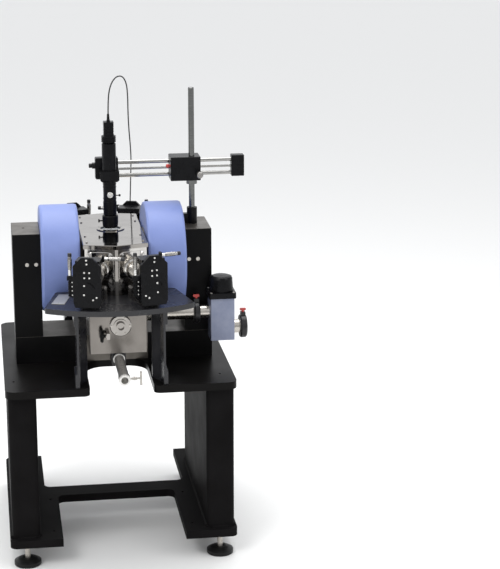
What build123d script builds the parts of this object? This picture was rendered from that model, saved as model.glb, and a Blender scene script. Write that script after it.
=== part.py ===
"""Free-standing wafer probe station: an electromagnet with a vacuum chamber between its poles,
four micromanipulated probe arms on two platforms, and a zoom microscope on a boom.

Millimetres, +Z up, X across (right positive), Y from front (negative) to back.
The origin is on the floor, under the crossing of the magnet axis and the microscope axis."""

import math
import os

from build123d import *

os.makedirs("parts", exist_ok=True)

# Clearances
SEAT_GAP = 0.3  # between curved or moving faces of neighbours
FIT_GAP = 0.05  # radial running fit of a shaft in its bore

# Base frame and feet
BASE_WIDTH = 653.0
BASE_DEPTH = 690.0
BASE_TOP = 85.0
BASE_PLATE = 23.0
FRONT_ARM_WIDTH = 150.0
BACK_ARM_WIDTH = 113.0
CROSSBAR_DEPTH = 75.0
CROSSBAR_Y = 30.0  # centre of the crossbar
BASE_CORNER = 20.0
FOOT_RADIUS = 38.5
FOOT_RIM = 12.0  # straight side of the pad
FOOT_DOME = 8.0  # rise of the pad's domed top
FOOT_INSET = 38.0  # foot centre from the plate's front and back edges
FOOT_SIDE_INSET = 48.0
STUD_RADIUS = 8.0
NUT_ACROSS = 24.0  # across flats
NUT_HEIGHT = 10.0

# Legs and table
LEG_WIDTH = 80.0
LEG_DEPTH = 577.0
LEG_OUTER_INSET = 6.5  # leg's outer face from the table's side
LEG_FRONT_INSET = 23.0  # leg's front face from the table's front
LEG_WALL = 6.0
LEG_CORNER = 16.0
TABLE_TOP = 531.0
TABLE_PLATE = 22.0
TABLE_DEPTH = 710.0
TABLE_CORNER = 28.0
SLOT_WIDTH = 180.0
SLOT_BACK = -75.0
SLOT_CORNER = 60.0

# Magnet
MAGNET_AXIS = TABLE_TOP + 297.0
YOKE_WIDTH = 576.0
YOKE_THICK = 80.0
YOKE_DEPTH = 162.0
YOKE_TOP = TABLE_TOP + 387.0
COIL_RADIUS = 155.5
COIL_FACE = 97.0  # inner face from the centre plane
POLE_RADIUS = 74.7
POLE_RING_RADIUS = 80.0
POLE_TIP_RADIUS = 66.0
YOKE_SCREW_RADIUS = 5.5

# Vacuum chamber
CHAMBER_HALF_WIDTH = 88.0
CHAMBER_NOSE = 212.0  # front and back vertical edges from the centre
CHAMBER_WALL = 14.0
LID_TOP = MAGNET_AXIS + 80.0
LID_THICK = 12.0
LID_HALF_WIDTH = 92.0
WINDOW_RADIUS = 30.0
WINDOW_RING_RADIUS = 41.0
WINDOW_RING_RISE = 2.5
ARM_ANGLE = 14.5  # of each probe arm from the Y axis, in plan
PORT_RADIUS = 30.0
PORT_BORE = 19.0
NOSE_BAR_WIDTH = 9.0
STAGE_RADIUS = 25.0
STAGE_TOP = MAGNET_AXIS - 8.0

# Lower housing and its fittings
HOUSING_HALF_WIDTH = 82.0
HOUSING_FRONT = 235.0
HOUSING_BOTTOM = TABLE_TOP + 67.0
PORT_DISC_RADIUS = 31.0
PORT_DISC_Z = TABLE_TOP + 150.0
PORT_DISC_X = 6.0
VENT_X = -26.0
VENT_REACH = 22.0
VENT_Z = TABLE_TOP + 126.0
BAYONET_RADIUS = 14.5
BAYONET_START = -165.0
BAYONET_LENGTH = 272.0
BAYONET_DROP = 3.0  # of the tube below the housing

# Platforms
PLATFORM_TOP = TABLE_TOP + 231.0
PLATFORM_THICK = 15.0
PLATFORM_FRONT = 380.0
COIL_CLEARANCE = 9.2  # from the coils to the platforms
PLATFORM_BACK = COIL_CLEARANCE + math.sqrt(COIL_RADIUS**2 - (MAGNET_AXIS - PLATFORM_TOP) ** 2)
PLATFORM_SIDE_FRONT = 318.0
PLATFORM_HALF_FRONT = 210.0
PLATFORM_HALF_BACK = 172.0
POST_OUTER = 130.0
POST_INNER = 92.0
POST_FRONT = 338.0
POST_BACK = 255.0

# Manipulators, in the unit's own frame: outward is -Y, Z from the platform's top
UNIT_HALF_WIDTH = 26.0
UNIT_OUTER = 362.0  # outer face of the upright column, from the centre
RAIL_HEIGHT = 12.0
PIER_HEIGHT = 36.0  # the fixed block at the inner end of the rails
SLED_HEIGHT = 20.0
SLED_INNER = 290.0
COLUMN_THICK = 14.0
COLUMN_TOP = 108.0
RIB_HEIGHT = 14.0
PLATE_THICK = 10.0
PLATE_HALF_WIDTH = 39.0
PLATE_BOTTOM = 8.0
REACH_TRAVEL = 25.0  # of the sled each way, along the arm
PLATE_TOP = 150.0
PLATE_BEVEL = 24.0
PLATE_FOOT_HALF = 34.0
BRIDGE_BOTTOM = 122.0
BRIDGE_TOP = 138.0
BRIDGE_INNER = 312.0
CARRIAGE_THICK = 16.0
CARRIAGE_HALF = 24.0
CARRIAGE_BOTTOM = 56.0
ARM_Z = MAGNET_AXIS + 7.0
ARM_RADIUS = 4.0
ARM_INNER = 84.0  # inner end of the arm's tube from the centre
TIP_REACH = 34.0  # the parked probe tip from the centre
TIP_Z = MAGNET_AXIS
THIMBLE_RADIUS = 6.0
SLEEVE_RADIUS = 4.2
THIMBLE_LENGTH = 46.0
LIFT_THIMBLE_U = -50.0
BELLOWS_RADIUS = 24.0
BELLOWS_OUTER = 284.0
FLANGE_THICK = 6.0

# Pump line and valve
LINE_RADIUS = 20.3
LINE_Y = 33.5 - COIL_RADIUS
LINE_Z = TABLE_TOP + 148.0
OUTLET_Z = TABLE_TOP + 100.0
CLAMP_RADIUS = 33.0
CLAMP_X = 237.0
CLAMP_WIDTH = 18.0
VALVE_X = 310.0
VALVE_SIDE = 70.0
VALVE_BOTTOM = TABLE_TOP + 68.0
VALVE_TOP = TABLE_TOP + 194.0
VALVE_FLANGE = 80.0
VALVE_FLANGE_THICK = 16.0
CAP_RADIUS = 35.0
CAP_HEIGHT = 47.0
OUTLET_LENGTH = 19.0

# Boom and microscope
POST_X = 241.0
POST_RADIUS = 8.6
POST_TOP = YOKE_TOP + 402.0
SOCKET_RADIUS = 15.0
SOCKET_HEIGHT = 48.0
ROD_Y = 34.0
ROD_RADIUS = 6.0
THIN_ROD_RADIUS = 3.6
UPPER_ROD_Z = YOKE_TOP + 181.0
LOWER_ROD_Z = YOKE_TOP + 142.0
BLOCK_LEFT = 178.0
BLOCK_RIGHT = 266.0
BLOCK_BOTTOM = YOKE_TOP + 130.0
BLOCK_TOP = YOKE_TOP + 200.0
BOOM_END = 400.0
COLLAR_RADIUS = 16.0
COLLAR_HEIGHT = 11.0
TUBE_RADIUS = 20.5
LOWER_TUBE_RADIUS = 18.8
CLAMP_HALF = 27.5
CLAMP_BOTTOM = YOKE_TOP + 133.0
CLAMP_TOP = YOKE_TOP + 165.0
TUBE_TOP = YOKE_TOP + 247.0
RING_LIGHT_BOTTOM = LID_TOP + 6.0
RING_LIGHT_TOP = RING_LIGHT_BOTTOM + 36.0
RING_LIGHT_RADIUS = 23.3
COUPLER_RADIUS = 21.2
CAMERA_BOTTOM = TUBE_TOP + 20.0
CAMERA_TOP = CAMERA_BOTTOM + 41.0
CAMERA_HALF = 14.5
RELIEF_HEIGHT = 22.0
FOCUS_SLAB_BACK = 47.0
FOCUS_SLAB_LEFT = 39.0
FOCUS_TRAVEL = 15.0  # upwards; the ring light nears the lid 2 mm below its resting place

# Camera cable
CABLE_RADIUS = 1.9
CABLE_BORE = 2.4
CABLE_POINTS = [
    (0, 0, 1226), (0, 0, 1284), (8, 18, 1326), (26, 44, 1348), (48, 72, 1348), (63, 98, 1322),
    (68, 124, 1278), (70, 150, 1226), (74, 178, 1172), (80, 210, 1120), (85, 248, 1076),
    (88, 294, 1034), (91, 344, 994), (93, 386, 950), (93, 408, 900), (92, 414, 838),
    (86, 414, 776), (79, 406, 716), (71, 390, 660), (64, 368, 610), (58, 342, 567),
    (50, 310, 543), (38, 282, 533.2), (25.5, 258, 533.1),
]
COIL_X = 0.0
COIL_Y = 262.0
COIL_MIDDLE = 21.0  # radius at the middle of the turns
COIL_LAYERS = 2
COIL_WIDTH_TURNS = 3

parts = {}


def node(name, *solids):
    """Keep the solids under one node name."""
    flat = []
    for item in solids:
        flat.extend(item.solids())
    parts.setdefault(name, []).extend(flat)


def block(x0, x1, y0, y1, z0, z1):
    """A box between two corners."""
    return Pos((x0 + x1) / 2, (y0 + y1) / 2, (z0 + z1) / 2) * Box(x1 - x0, y1 - y0, z1 - z0)


def upright(x, y, z0, z1, radius):
    """A vertical cylinder."""
    return Pos(x, y, (z0 + z1) / 2) * Cylinder(radius, z1 - z0)


def along_x(x0, x1, y, z, radius):
    """A cylinder along X."""
    return Pos((x0 + x1) / 2, y, z) * Rot(0, 90, 0) * Cylinder(radius, abs(x1 - x0))


def along_y(x, y0, y1, z, radius):
    """A cylinder along Y."""
    return Pos(x, (y0 + y1) / 2, z) * Rot(90, 0, 0) * Cylinder(radius, abs(y1 - y0))


def prism(points, z0, z1):
    """A vertical prism over a plan outline."""
    face = make_face(Polyline(*points, close=True))
    return extrude(Pos(0, 0, z0) * face, z1 - z0)


def rounded_plate(width, depth, z0, z1, corner, y_centre=0.0):
    """A plate with rounded vertical edges."""
    return extrude(Pos(0, y_centre, z0) * RectangleRounded(width, depth, corner), z1 - z0)


def side_profile(points, x0, x1):
    """A prism along X over an outline of (y, z) points."""
    face = make_face(Polyline(*[(x0, y, z) for y, z in points], close=True))
    return extrude(face, x1 - x0, dir=(1, 0, 0))


def round_body(profile, axis_at=(0, 0, 0), axis="z"):
    """Revolve (radius, height) points about an upright axis, or one laid along X or Y."""
    line = Polyline(*[(r, 0, h) for r, h in profile], close=True)
    solid = revolve(make_face(line), Axis.Z)
    turn = {"z": Rot(0, 0, 0), "x": Rot(0, 90, 0), "y": Rot(90, 0, 0)}[axis]
    return Pos(*axis_at) * turn * solid


def build_frame():
    """The H-shaped base, its feet, the box legs and the slotted table."""
    half_w, half_d = BASE_WIDTH / 2, BASE_DEPTH / 2
    bottom = BASE_TOP - BASE_PLATE
    front_inner, back_inner = half_w - FRONT_ARM_WIDTH, half_w - BACK_ARM_WIDTH
    bar_front, bar_back = CROSSBAR_Y - CROSSBAR_DEPTH / 2, CROSSBAR_Y + CROSSBAR_DEPTH / 2
    base = rounded_plate(BASE_WIDTH, BASE_DEPTH, bottom, BASE_TOP, BASE_CORNER)
    gap_front = extrude(
        Pos(0, (bar_front - half_d) / 2 - BASE_CORNER, bottom)
        * RectangleRounded(2 * front_inner, half_d + bar_front + 2 * BASE_CORNER, BASE_CORNER),
        BASE_PLATE,
    )
    gap_back = extrude(
        Pos(0, (bar_back + half_d) / 2 + BASE_CORNER, bottom)
        * RectangleRounded(2 * back_inner, half_d - bar_back + 2 * BASE_CORNER, BASE_CORNER),
        BASE_PLATE,
    )
    base = base - gap_front - gap_back
    foot_x, foot_y = half_w - FOOT_SIDE_INSET, half_d - FOOT_INSET
    hole = STUD_RADIUS + SEAT_GAP
    for sx in (-1, 1):
        for sy in (-1, 1):
            base -= upright(sx * foot_x, sy * foot_y, bottom, BASE_TOP, hole)
        for y in (-foot_y + 26, -half_d * 0.1):
            base -= upright(sx * (front_inner + 24), y, BASE_TOP - 12, BASE_TOP, 4.0)
    node("stand_frame", base)

    rim, dome = FOOT_RIM, FOOT_RIM + FOOT_DOME
    foot_line = [
        (0, 0), (FOOT_RADIUS - 2, 0), (FOOT_RADIUS, 2), (FOOT_RADIUS, rim),
        (FOOT_RADIUS * 0.72, dome - 2), (FOOT_RADIUS * 0.45, dome), (STUD_RADIUS, dome),
        (STUD_RADIUS, BASE_TOP - 4), (STUD_RADIUS - 1.5, BASE_TOP - 2.5), (0, BASE_TOP - 2.5),
    ]
    for sx in (-1, 1):
        for sy in (-1, 1):
            at = (sx * foot_x, sy * foot_y, 0)
            node("levelling_feet", round_body(foot_line, at))
            nut = extrude(
                Pos(at[0], at[1], bottom - NUT_HEIGHT)
                * RegularPolygon(NUT_ACROSS / 2, 6, major_radius=False),
                NUT_HEIGHT,
            )
            nut -= upright(at[0], at[1], bottom - NUT_HEIGHT, bottom, STUD_RADIUS + FIT_GAP)
            node("levelling_feet", nut)

    leg_x = half_w - LEG_OUTER_INSET - LEG_WIDTH / 2
    leg_y = -half_d + LEG_FRONT_INSET + LEG_DEPTH / 2
    under = TABLE_TOP - TABLE_PLATE
    for side, sx in (("left", -1), ("right", 1)):
        outer = RectangleRounded(LEG_WIDTH, LEG_DEPTH, LEG_CORNER)
        inner = RectangleRounded(
            LEG_WIDTH - 2 * LEG_WALL, LEG_DEPTH - 2 * LEG_WALL, LEG_CORNER - LEG_WALL
        )
        leg = extrude(Pos(sx * leg_x, leg_y, BASE_TOP) * (outer - inner), under - BASE_TOP)
        node("stand_frame", leg)

    table = rounded_plate(
        BASE_WIDTH, TABLE_DEPTH, under, TABLE_TOP, TABLE_CORNER, TABLE_DEPTH / 2 - half_d
    )
    slot_depth = half_d + SLOT_BACK + 2 * SLOT_CORNER
    slot = extrude(
        Pos(0, SLOT_BACK - slot_depth / 2, under)
        * RectangleRounded(SLOT_WIDTH, slot_depth, SLOT_CORNER),
        TABLE_PLATE,
    )
    table -= slot
    mouth = [e for e in table.edges().filter_by(Axis.Z)
             if abs(abs(e.center().X) - SLOT_WIDTH / 2) < 1 and e.center().Y < -half_d + 1]
    if mouth:
        table = fillet(mouth, 18.0)
    for x, y in ((-half_w + 26, -half_d * 0.72), (half_w - 40, -half_d * 0.75)):
        table -= upright(x, y, under, TABLE_TOP, 4.0)
    node("table_top", table)
    for sx in (-1, 1):
        for y in (-half_d + 60, -20.0, half_d - 80):
            head = upright(sx * (leg_x - LEG_WIDTH / 2 - 16), y, under - 8, under, 6.5)
            node("cap_screws", head)


def build_magnet():
    """The U-shaped yoke, the two round coils and the pole pieces."""
    outer, inner = YOKE_WIDTH / 2, YOKE_WIDTH / 2 - YOKE_THICK
    half_d = YOKE_DEPTH / 2
    for side, sx in (("left", -1), ("right", 1)):
        x0, x1 = sorted((sx * inner, sx * outer))
        column = block(x0, x1, -half_d, half_d, TABLE_TOP, YOKE_TOP)
        column = chamfer(column.edges().group_by(Axis.Z)[-1], 1.2)
        if side == "left":
            column -= upright((x0 + x1) / 2 - 6, 5, YOKE_TOP - 20, YOKE_TOP, 4.0)
        screw_xs = [sx * (outer - 40), sx * (outer - 66)]
        for x in screw_xs:
            for y0, sy in ((-half_d, -1), (half_d, 1)):
                column -= along_y(x, y0, y0 - sy * 7, MAGNET_AXIS, YOKE_SCREW_RADIUS + SEAT_GAP)
                node("cap_screws", along_y(x, y0 - sy * 6.5, y0 + sy * 0.5, MAGNET_AXIS,
                                           YOKE_SCREW_RADIUS))
        node("magnet_yoke", column)
        coil_end = inner
        coil_line = [
            (POLE_RADIUS + SEAT_GAP, COIL_FACE), (COIL_RADIUS - 7, COIL_FACE),
            (COIL_RADIUS - 2, COIL_FACE + 2), (COIL_RADIUS, COIL_FACE + 7),
            (COIL_RADIUS, coil_end - 7), (COIL_RADIUS - 2, coil_end - 2),
            (COIL_RADIUS - 7, coil_end), (POLE_RADIUS + SEAT_GAP, coil_end),
        ]
        coil = round_body(coil_line, (0, 0, MAGNET_AXIS), "x")
        pole_line = [
            (0, CHAMBER_HALF_WIDTH), (POLE_TIP_RADIUS, CHAMBER_HALF_WIDTH),
            (POLE_TIP_RADIUS, LID_HALF_WIDTH + SEAT_GAP), (POLE_RING_RADIUS, LID_HALF_WIDTH + SEAT_GAP),
            (POLE_RING_RADIUS, COIL_FACE - SEAT_GAP),
            (POLE_RADIUS, COIL_FACE - SEAT_GAP), (POLE_RADIUS, coil_end), (0, coil_end),
        ]
        pole = round_body(pole_line, (0, 0, MAGNET_AXIS), "x")
        if sx < 0:
            coil, pole = mirror(coil, Plane.YZ), mirror(pole, Plane.YZ)
        node("magnet_coils", coil)
        node("magnet_yoke", pole)
    node("magnet_yoke", block(-inner, inner, -half_d, half_d, TABLE_TOP, TABLE_TOP + YOKE_THICK))


def nose_outline(inset):
    """Plan of the chamber: straight sides under the coils and a shallow nose front and back."""
    half = CHAMBER_HALF_WIDTH - inset
    slope = math.tan(math.radians(ARM_ANGLE))
    nose = CHAMBER_NOSE - inset / math.cos(math.radians(ARM_ANGLE))
    cheek = nose - half * slope
    return [(-half, -cheek), (0, -nose), (half, -cheek), (half, cheek), (0, nose), (-half, cheek)]


def build_chamber():
    """The vacuum chamber between the poles, its lid, window, ports and sample stage."""
    top = LID_TOP - LID_THICK
    floor = PLATFORM_TOP + CHAMBER_WALL
    outer, inner = nose_outline(0), nose_outline(CHAMBER_WALL)
    face = CHAMBER_NOSE * math.cos(math.radians(ARM_ANGLE))
    bars = []
    for sy in (-1, 1):
        y0, y1 = sorted((sy * (CHAMBER_NOSE - 8), sy * (CHAMBER_NOSE + 5)))
        bars.append(block(-NOSE_BAR_WIDTH / 2, NOSE_BAR_WIDTH / 2, y0, y1, PLATFORM_TOP, top))
    bottom = prism(outer, PLATFORM_TOP, floor)
    for bar in bars:
        bottom -= bar
        node("chamber_body", bar)
    node("chamber_body", bottom)
    for k in range(6):
        n = (k + 1) % 6
        wall = prism([outer[k], outer[n], inner[n], inner[k]], floor, top)
        if outer[k][0] == outer[n][0]:
            node("chamber_body", wall)
            continue
        for bar in bars:
            wall -= bar
        for name, turn in UNITS:
            wall -= Rot(0, 0, turn) * along_y(0, -face - 2, -face + 2 * CHAMBER_WALL, ARM_Z, PORT_BORE)
        node("arm_ports", wall)
    for name, turn in UNITS:
        spin = Rot(0, 0, turn)
        neck_line = [
            (PORT_BORE, 0), (PORT_RADIUS, 0), (PORT_RADIUS, 3), (BELLOWS_RADIUS + 1, 5),
            (BELLOWS_RADIUS + 1, 9), (PORT_RADIUS - 1, 11), (PORT_RADIUS - 1, 14), (PORT_BORE, 14),
        ]
        neck = round_body(neck_line, (0, -face, ARM_Z), "y")
        node("arm_ports", spin * neck)
        turns = 9
        start, end = face + 14, BELLOWS_OUTER - SEAT_GAP
        pitch = (end - start) / turns
        wave = [(PORT_BORE, 0)]
        for k in range(turns):
            wave += [(BELLOWS_RADIUS - 4, k * pitch), (BELLOWS_RADIUS, (k + 0.35) * pitch),
                     (BELLOWS_RADIUS, (k + 0.65) * pitch)]
        wave += [(BELLOWS_RADIUS - 4, turns * pitch), (PORT_BORE, turns * pitch)]
        node("arm_bellows", spin * round_body(wave, (0, -start, ARM_Z), "y"))

    lid = prism(nose_outline(CHAMBER_HALF_WIDTH - LID_HALF_WIDTH), top, LID_TOP)
    lid = chamfer(lid.edges().group_by(Axis.Z)[-1], 1.5)
    lid -= upright(0, 0, top, LID_TOP, WINDOW_RADIUS)
    seat = WINDOW_RADIUS + 4
    lid -= upright(0, 0, LID_TOP - 6, LID_TOP, seat)
    node("chamber_lid", lid)
    node("viewport_window", upright(0, 0, LID_TOP - 6, LID_TOP - 1, seat - SEAT_GAP))
    ring = upright(0, 0, LID_TOP, LID_TOP + WINDOW_RING_RISE, WINDOW_RING_RADIUS)
    ring -= upright(0, 0, LID_TOP, LID_TOP + WINDOW_RING_RISE, WINDOW_RADIUS)
    node("chamber_lid", ring)
    for k in range(6):
        a = math.radians(60 * k + 30)
        r = (WINDOW_RING_RADIUS + seat) / 2
        node("cap_screws", upright(r * math.cos(a), r * math.sin(a), LID_TOP + WINDOW_RING_RISE,
                                   LID_TOP + WINDOW_RING_RISE + 0.8, 1.8))
    for sx in (-1, 1):
        for y in (-165, -90, 90, 165):
            node("cap_screws", upright(sx * (LID_HALF_WIDTH - 12), y, LID_TOP, LID_TOP + 2.5, 3.2))

    stage_line = [
        (0, floor), (34, floor), (34, floor + 6), (12, floor + 10), (12, STAGE_TOP - 12),
        (STAGE_RADIUS, STAGE_TOP - 8), (STAGE_RADIUS, STAGE_TOP - 1), (STAGE_RADIUS - 1, STAGE_TOP),
        (0, STAGE_TOP),
    ]
    node("sample_stage", round_body(stage_line))


def build_housing():
    """The stainless housing under the chamber, its service port, vent and transfer bayonet."""
    half_y, under = YOKE_DEPTH / 2 + 2, PLATFORM_TOP - PLATFORM_THICK - SEAT_GAP
    saddle = TABLE_TOP + YOKE_THICK + 1
    neck = PLATFORM_BACK - 1
    outline = [
        (-HOUSING_FRONT, HOUSING_BOTTOM), (-half_y, HOUSING_BOTTOM), (-half_y, saddle),
        (half_y, saddle), (half_y, HOUSING_BOTTOM), (HOUSING_FRONT, HOUSING_BOTTOM),
        (HOUSING_FRONT, under), (neck, under), (neck, PLATFORM_TOP), (-neck, PLATFORM_TOP),
        (-neck, under), (-HOUSING_FRONT, under),
    ]
    housing = side_profile(outline, -HOUSING_HALF_WIDTH, HOUSING_HALF_WIDTH)
    edges = [e for e in housing.edges().filter_by(Axis.Z) if abs(e.center().Y) > HOUSING_FRONT - 1]
    housing = fillet(edges, 2.5)
    node("lower_housing", housing)

    front = -HOUSING_FRONT
    disc_line = [
        (0, 0), (PORT_DISC_RADIUS, 0), (PORT_DISC_RADIUS, 7), (PORT_DISC_RADIUS - 2, 9),
        (20, 9), (20, 13), (13, 13), (13, 24), (9, 24), (9, 14), (0, 14),
    ]
    node("service_port", round_body(disc_line, (PORT_DISC_X, front, PORT_DISC_Z), "y"))
    for k in range(6):
        a = math.radians(60 * k)
        x = PORT_DISC_X + 26 * math.cos(a)
        z = PORT_DISC_Z + 26 * math.sin(a)
        node("cap_screws", along_y(x, front - 9, front - 11.5, z, 2.6))
    vent_y = front - VENT_REACH
    vent = block(VENT_X - 10, VENT_X, vent_y - 9, front, VENT_Z - 9, VENT_Z + 9)
    vent = fillet(vent.edges().filter_by(Axis.Y), 3)
    vent += along_x(VENT_X - 12, VENT_X - 8, vent_y, VENT_Z, 6)
    node("service_port", vent)
    knob_line = [
        (0, 0), (5, 0), (5, 4), (14, 6), (18.5, 8), (18.5, 12), (15, 15), (6, 16), (0, 16),
    ]
    knob = mirror(round_body(knob_line, (0, 0, 0), "x"), Plane.YZ)
    for k in range(6):
        a = math.radians(60 * k)
        knob -= along_x(-17, -5, 19.5 * math.cos(a), 19.5 * math.sin(a), 3.4)
    knob = Pos(VENT_X - 12 - SEAT_GAP, vent_y, VENT_Z) * knob
    node("vent_knob", knob)

    r = BAYONET_RADIUS
    axis_z = HOUSING_BOTTOM - BAYONET_DROP - r
    end = BAYONET_START - BAYONET_LENGTH
    bayonet = along_y(0, BAYONET_START, end, axis_z, r)
    bayonet += along_y(0, front + 6, front - 3, axis_z, r + 2)
    bayonet += along_y(0, end + 30, end + 4, axis_z, r + 2)
    bayonet -= along_y(0, end - 1, end + 60, axis_z, r - 4.5)
    screw_y = end + 16
    bayonet -= along_x(r - 6, r + 4, screw_y, axis_z, 3 + FIT_GAP)
    node("transfer_bayonet", bayonet)
    cradle = block(-r - 6, r + 6, front + 8, BAYONET_START, axis_z - r - 6, HOUSING_BOTTOM)
    cradle = chamfer(cradle.edges().filter_by(Axis.Y).group_by(Axis.Z)[0], 4)
    node("transfer_bayonet", cradle - along_y(0, front, BAYONET_START, axis_z, r + FIT_GAP))
    screw = along_x(r - 3, 46, screw_y, axis_z, 3)
    screw += along_x(r + 8, 20 + r, screw_y, axis_z, 5)
    bar = upright(46, screw_y, axis_z - 17, axis_z + 17, 3)
    for z in (-17, 17):
        bar += Pos(46, screw_y, axis_z + z) * Sphere(3.6)
    node("bayonet_screw", screw + bar)


def platform_outline():
    """Plan of the front platform: bowed front edge, sides closing in towards the magnet."""
    left = Line((-PLATFORM_HALF_BACK, -PLATFORM_BACK), (-PLATFORM_HALF_FRONT, -PLATFORM_SIDE_FRONT))
    bow = ThreePointArc(
        (-PLATFORM_HALF_FRONT, -PLATFORM_SIDE_FRONT), (0, -PLATFORM_FRONT),
        (PLATFORM_HALF_FRONT, -PLATFORM_SIDE_FRONT),
    )
    right = Line((PLATFORM_HALF_FRONT, -PLATFORM_SIDE_FRONT), (PLATFORM_HALF_BACK, -PLATFORM_BACK))
    back = Line((PLATFORM_HALF_BACK, -PLATFORM_BACK), (-PLATFORM_HALF_BACK, -PLATFORM_BACK))
    return make_face(left + bow + right + back)


def build_platforms():
    """The two black platforms and the posts that hold them over the table."""
    under = PLATFORM_TOP - PLATFORM_THICK
    for turn in (0, 180):
        plate = extrude(Pos(0, 0, under) * platform_outline(), PLATFORM_THICK)
        plate = fillet(plate.edges().filter_by(Axis.Z), 10)
        plate = chamfer(plate.edges().group_by(Axis.Z)[-1], 1.0)
        node("platforms", Rot(0, 0, turn) * plate)
        for sx in (-1, 1):
            outline = [
                (sx * POST_OUTER, -POST_FRONT), (sx * (POST_OUTER - 12), -POST_FRONT),
                (sx * (POST_OUTER - 17), -POST_FRONT + 36), (sx * POST_INNER, -POST_FRONT + 70),
                (sx * POST_INNER, -POST_BACK), (sx * POST_OUTER, -POST_BACK),
            ]
            post = prism(outline, TABLE_TOP, under)
            pocket = block(-14, 14, -1000, 1000, TABLE_TOP + 40, under - 40)
            post -= Pos(sx * (POST_OUTER + 8), 0, 0) * pocket
            node("platforms", Rot(0, 0, turn) * post)


UNITS = [
    ("front_left", -ARM_ANGLE), ("front_right", ARM_ANGLE),
    ("rear_right", 180 - ARM_ANGLE), ("rear_left", 180 + ARM_ANGLE),
]


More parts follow.
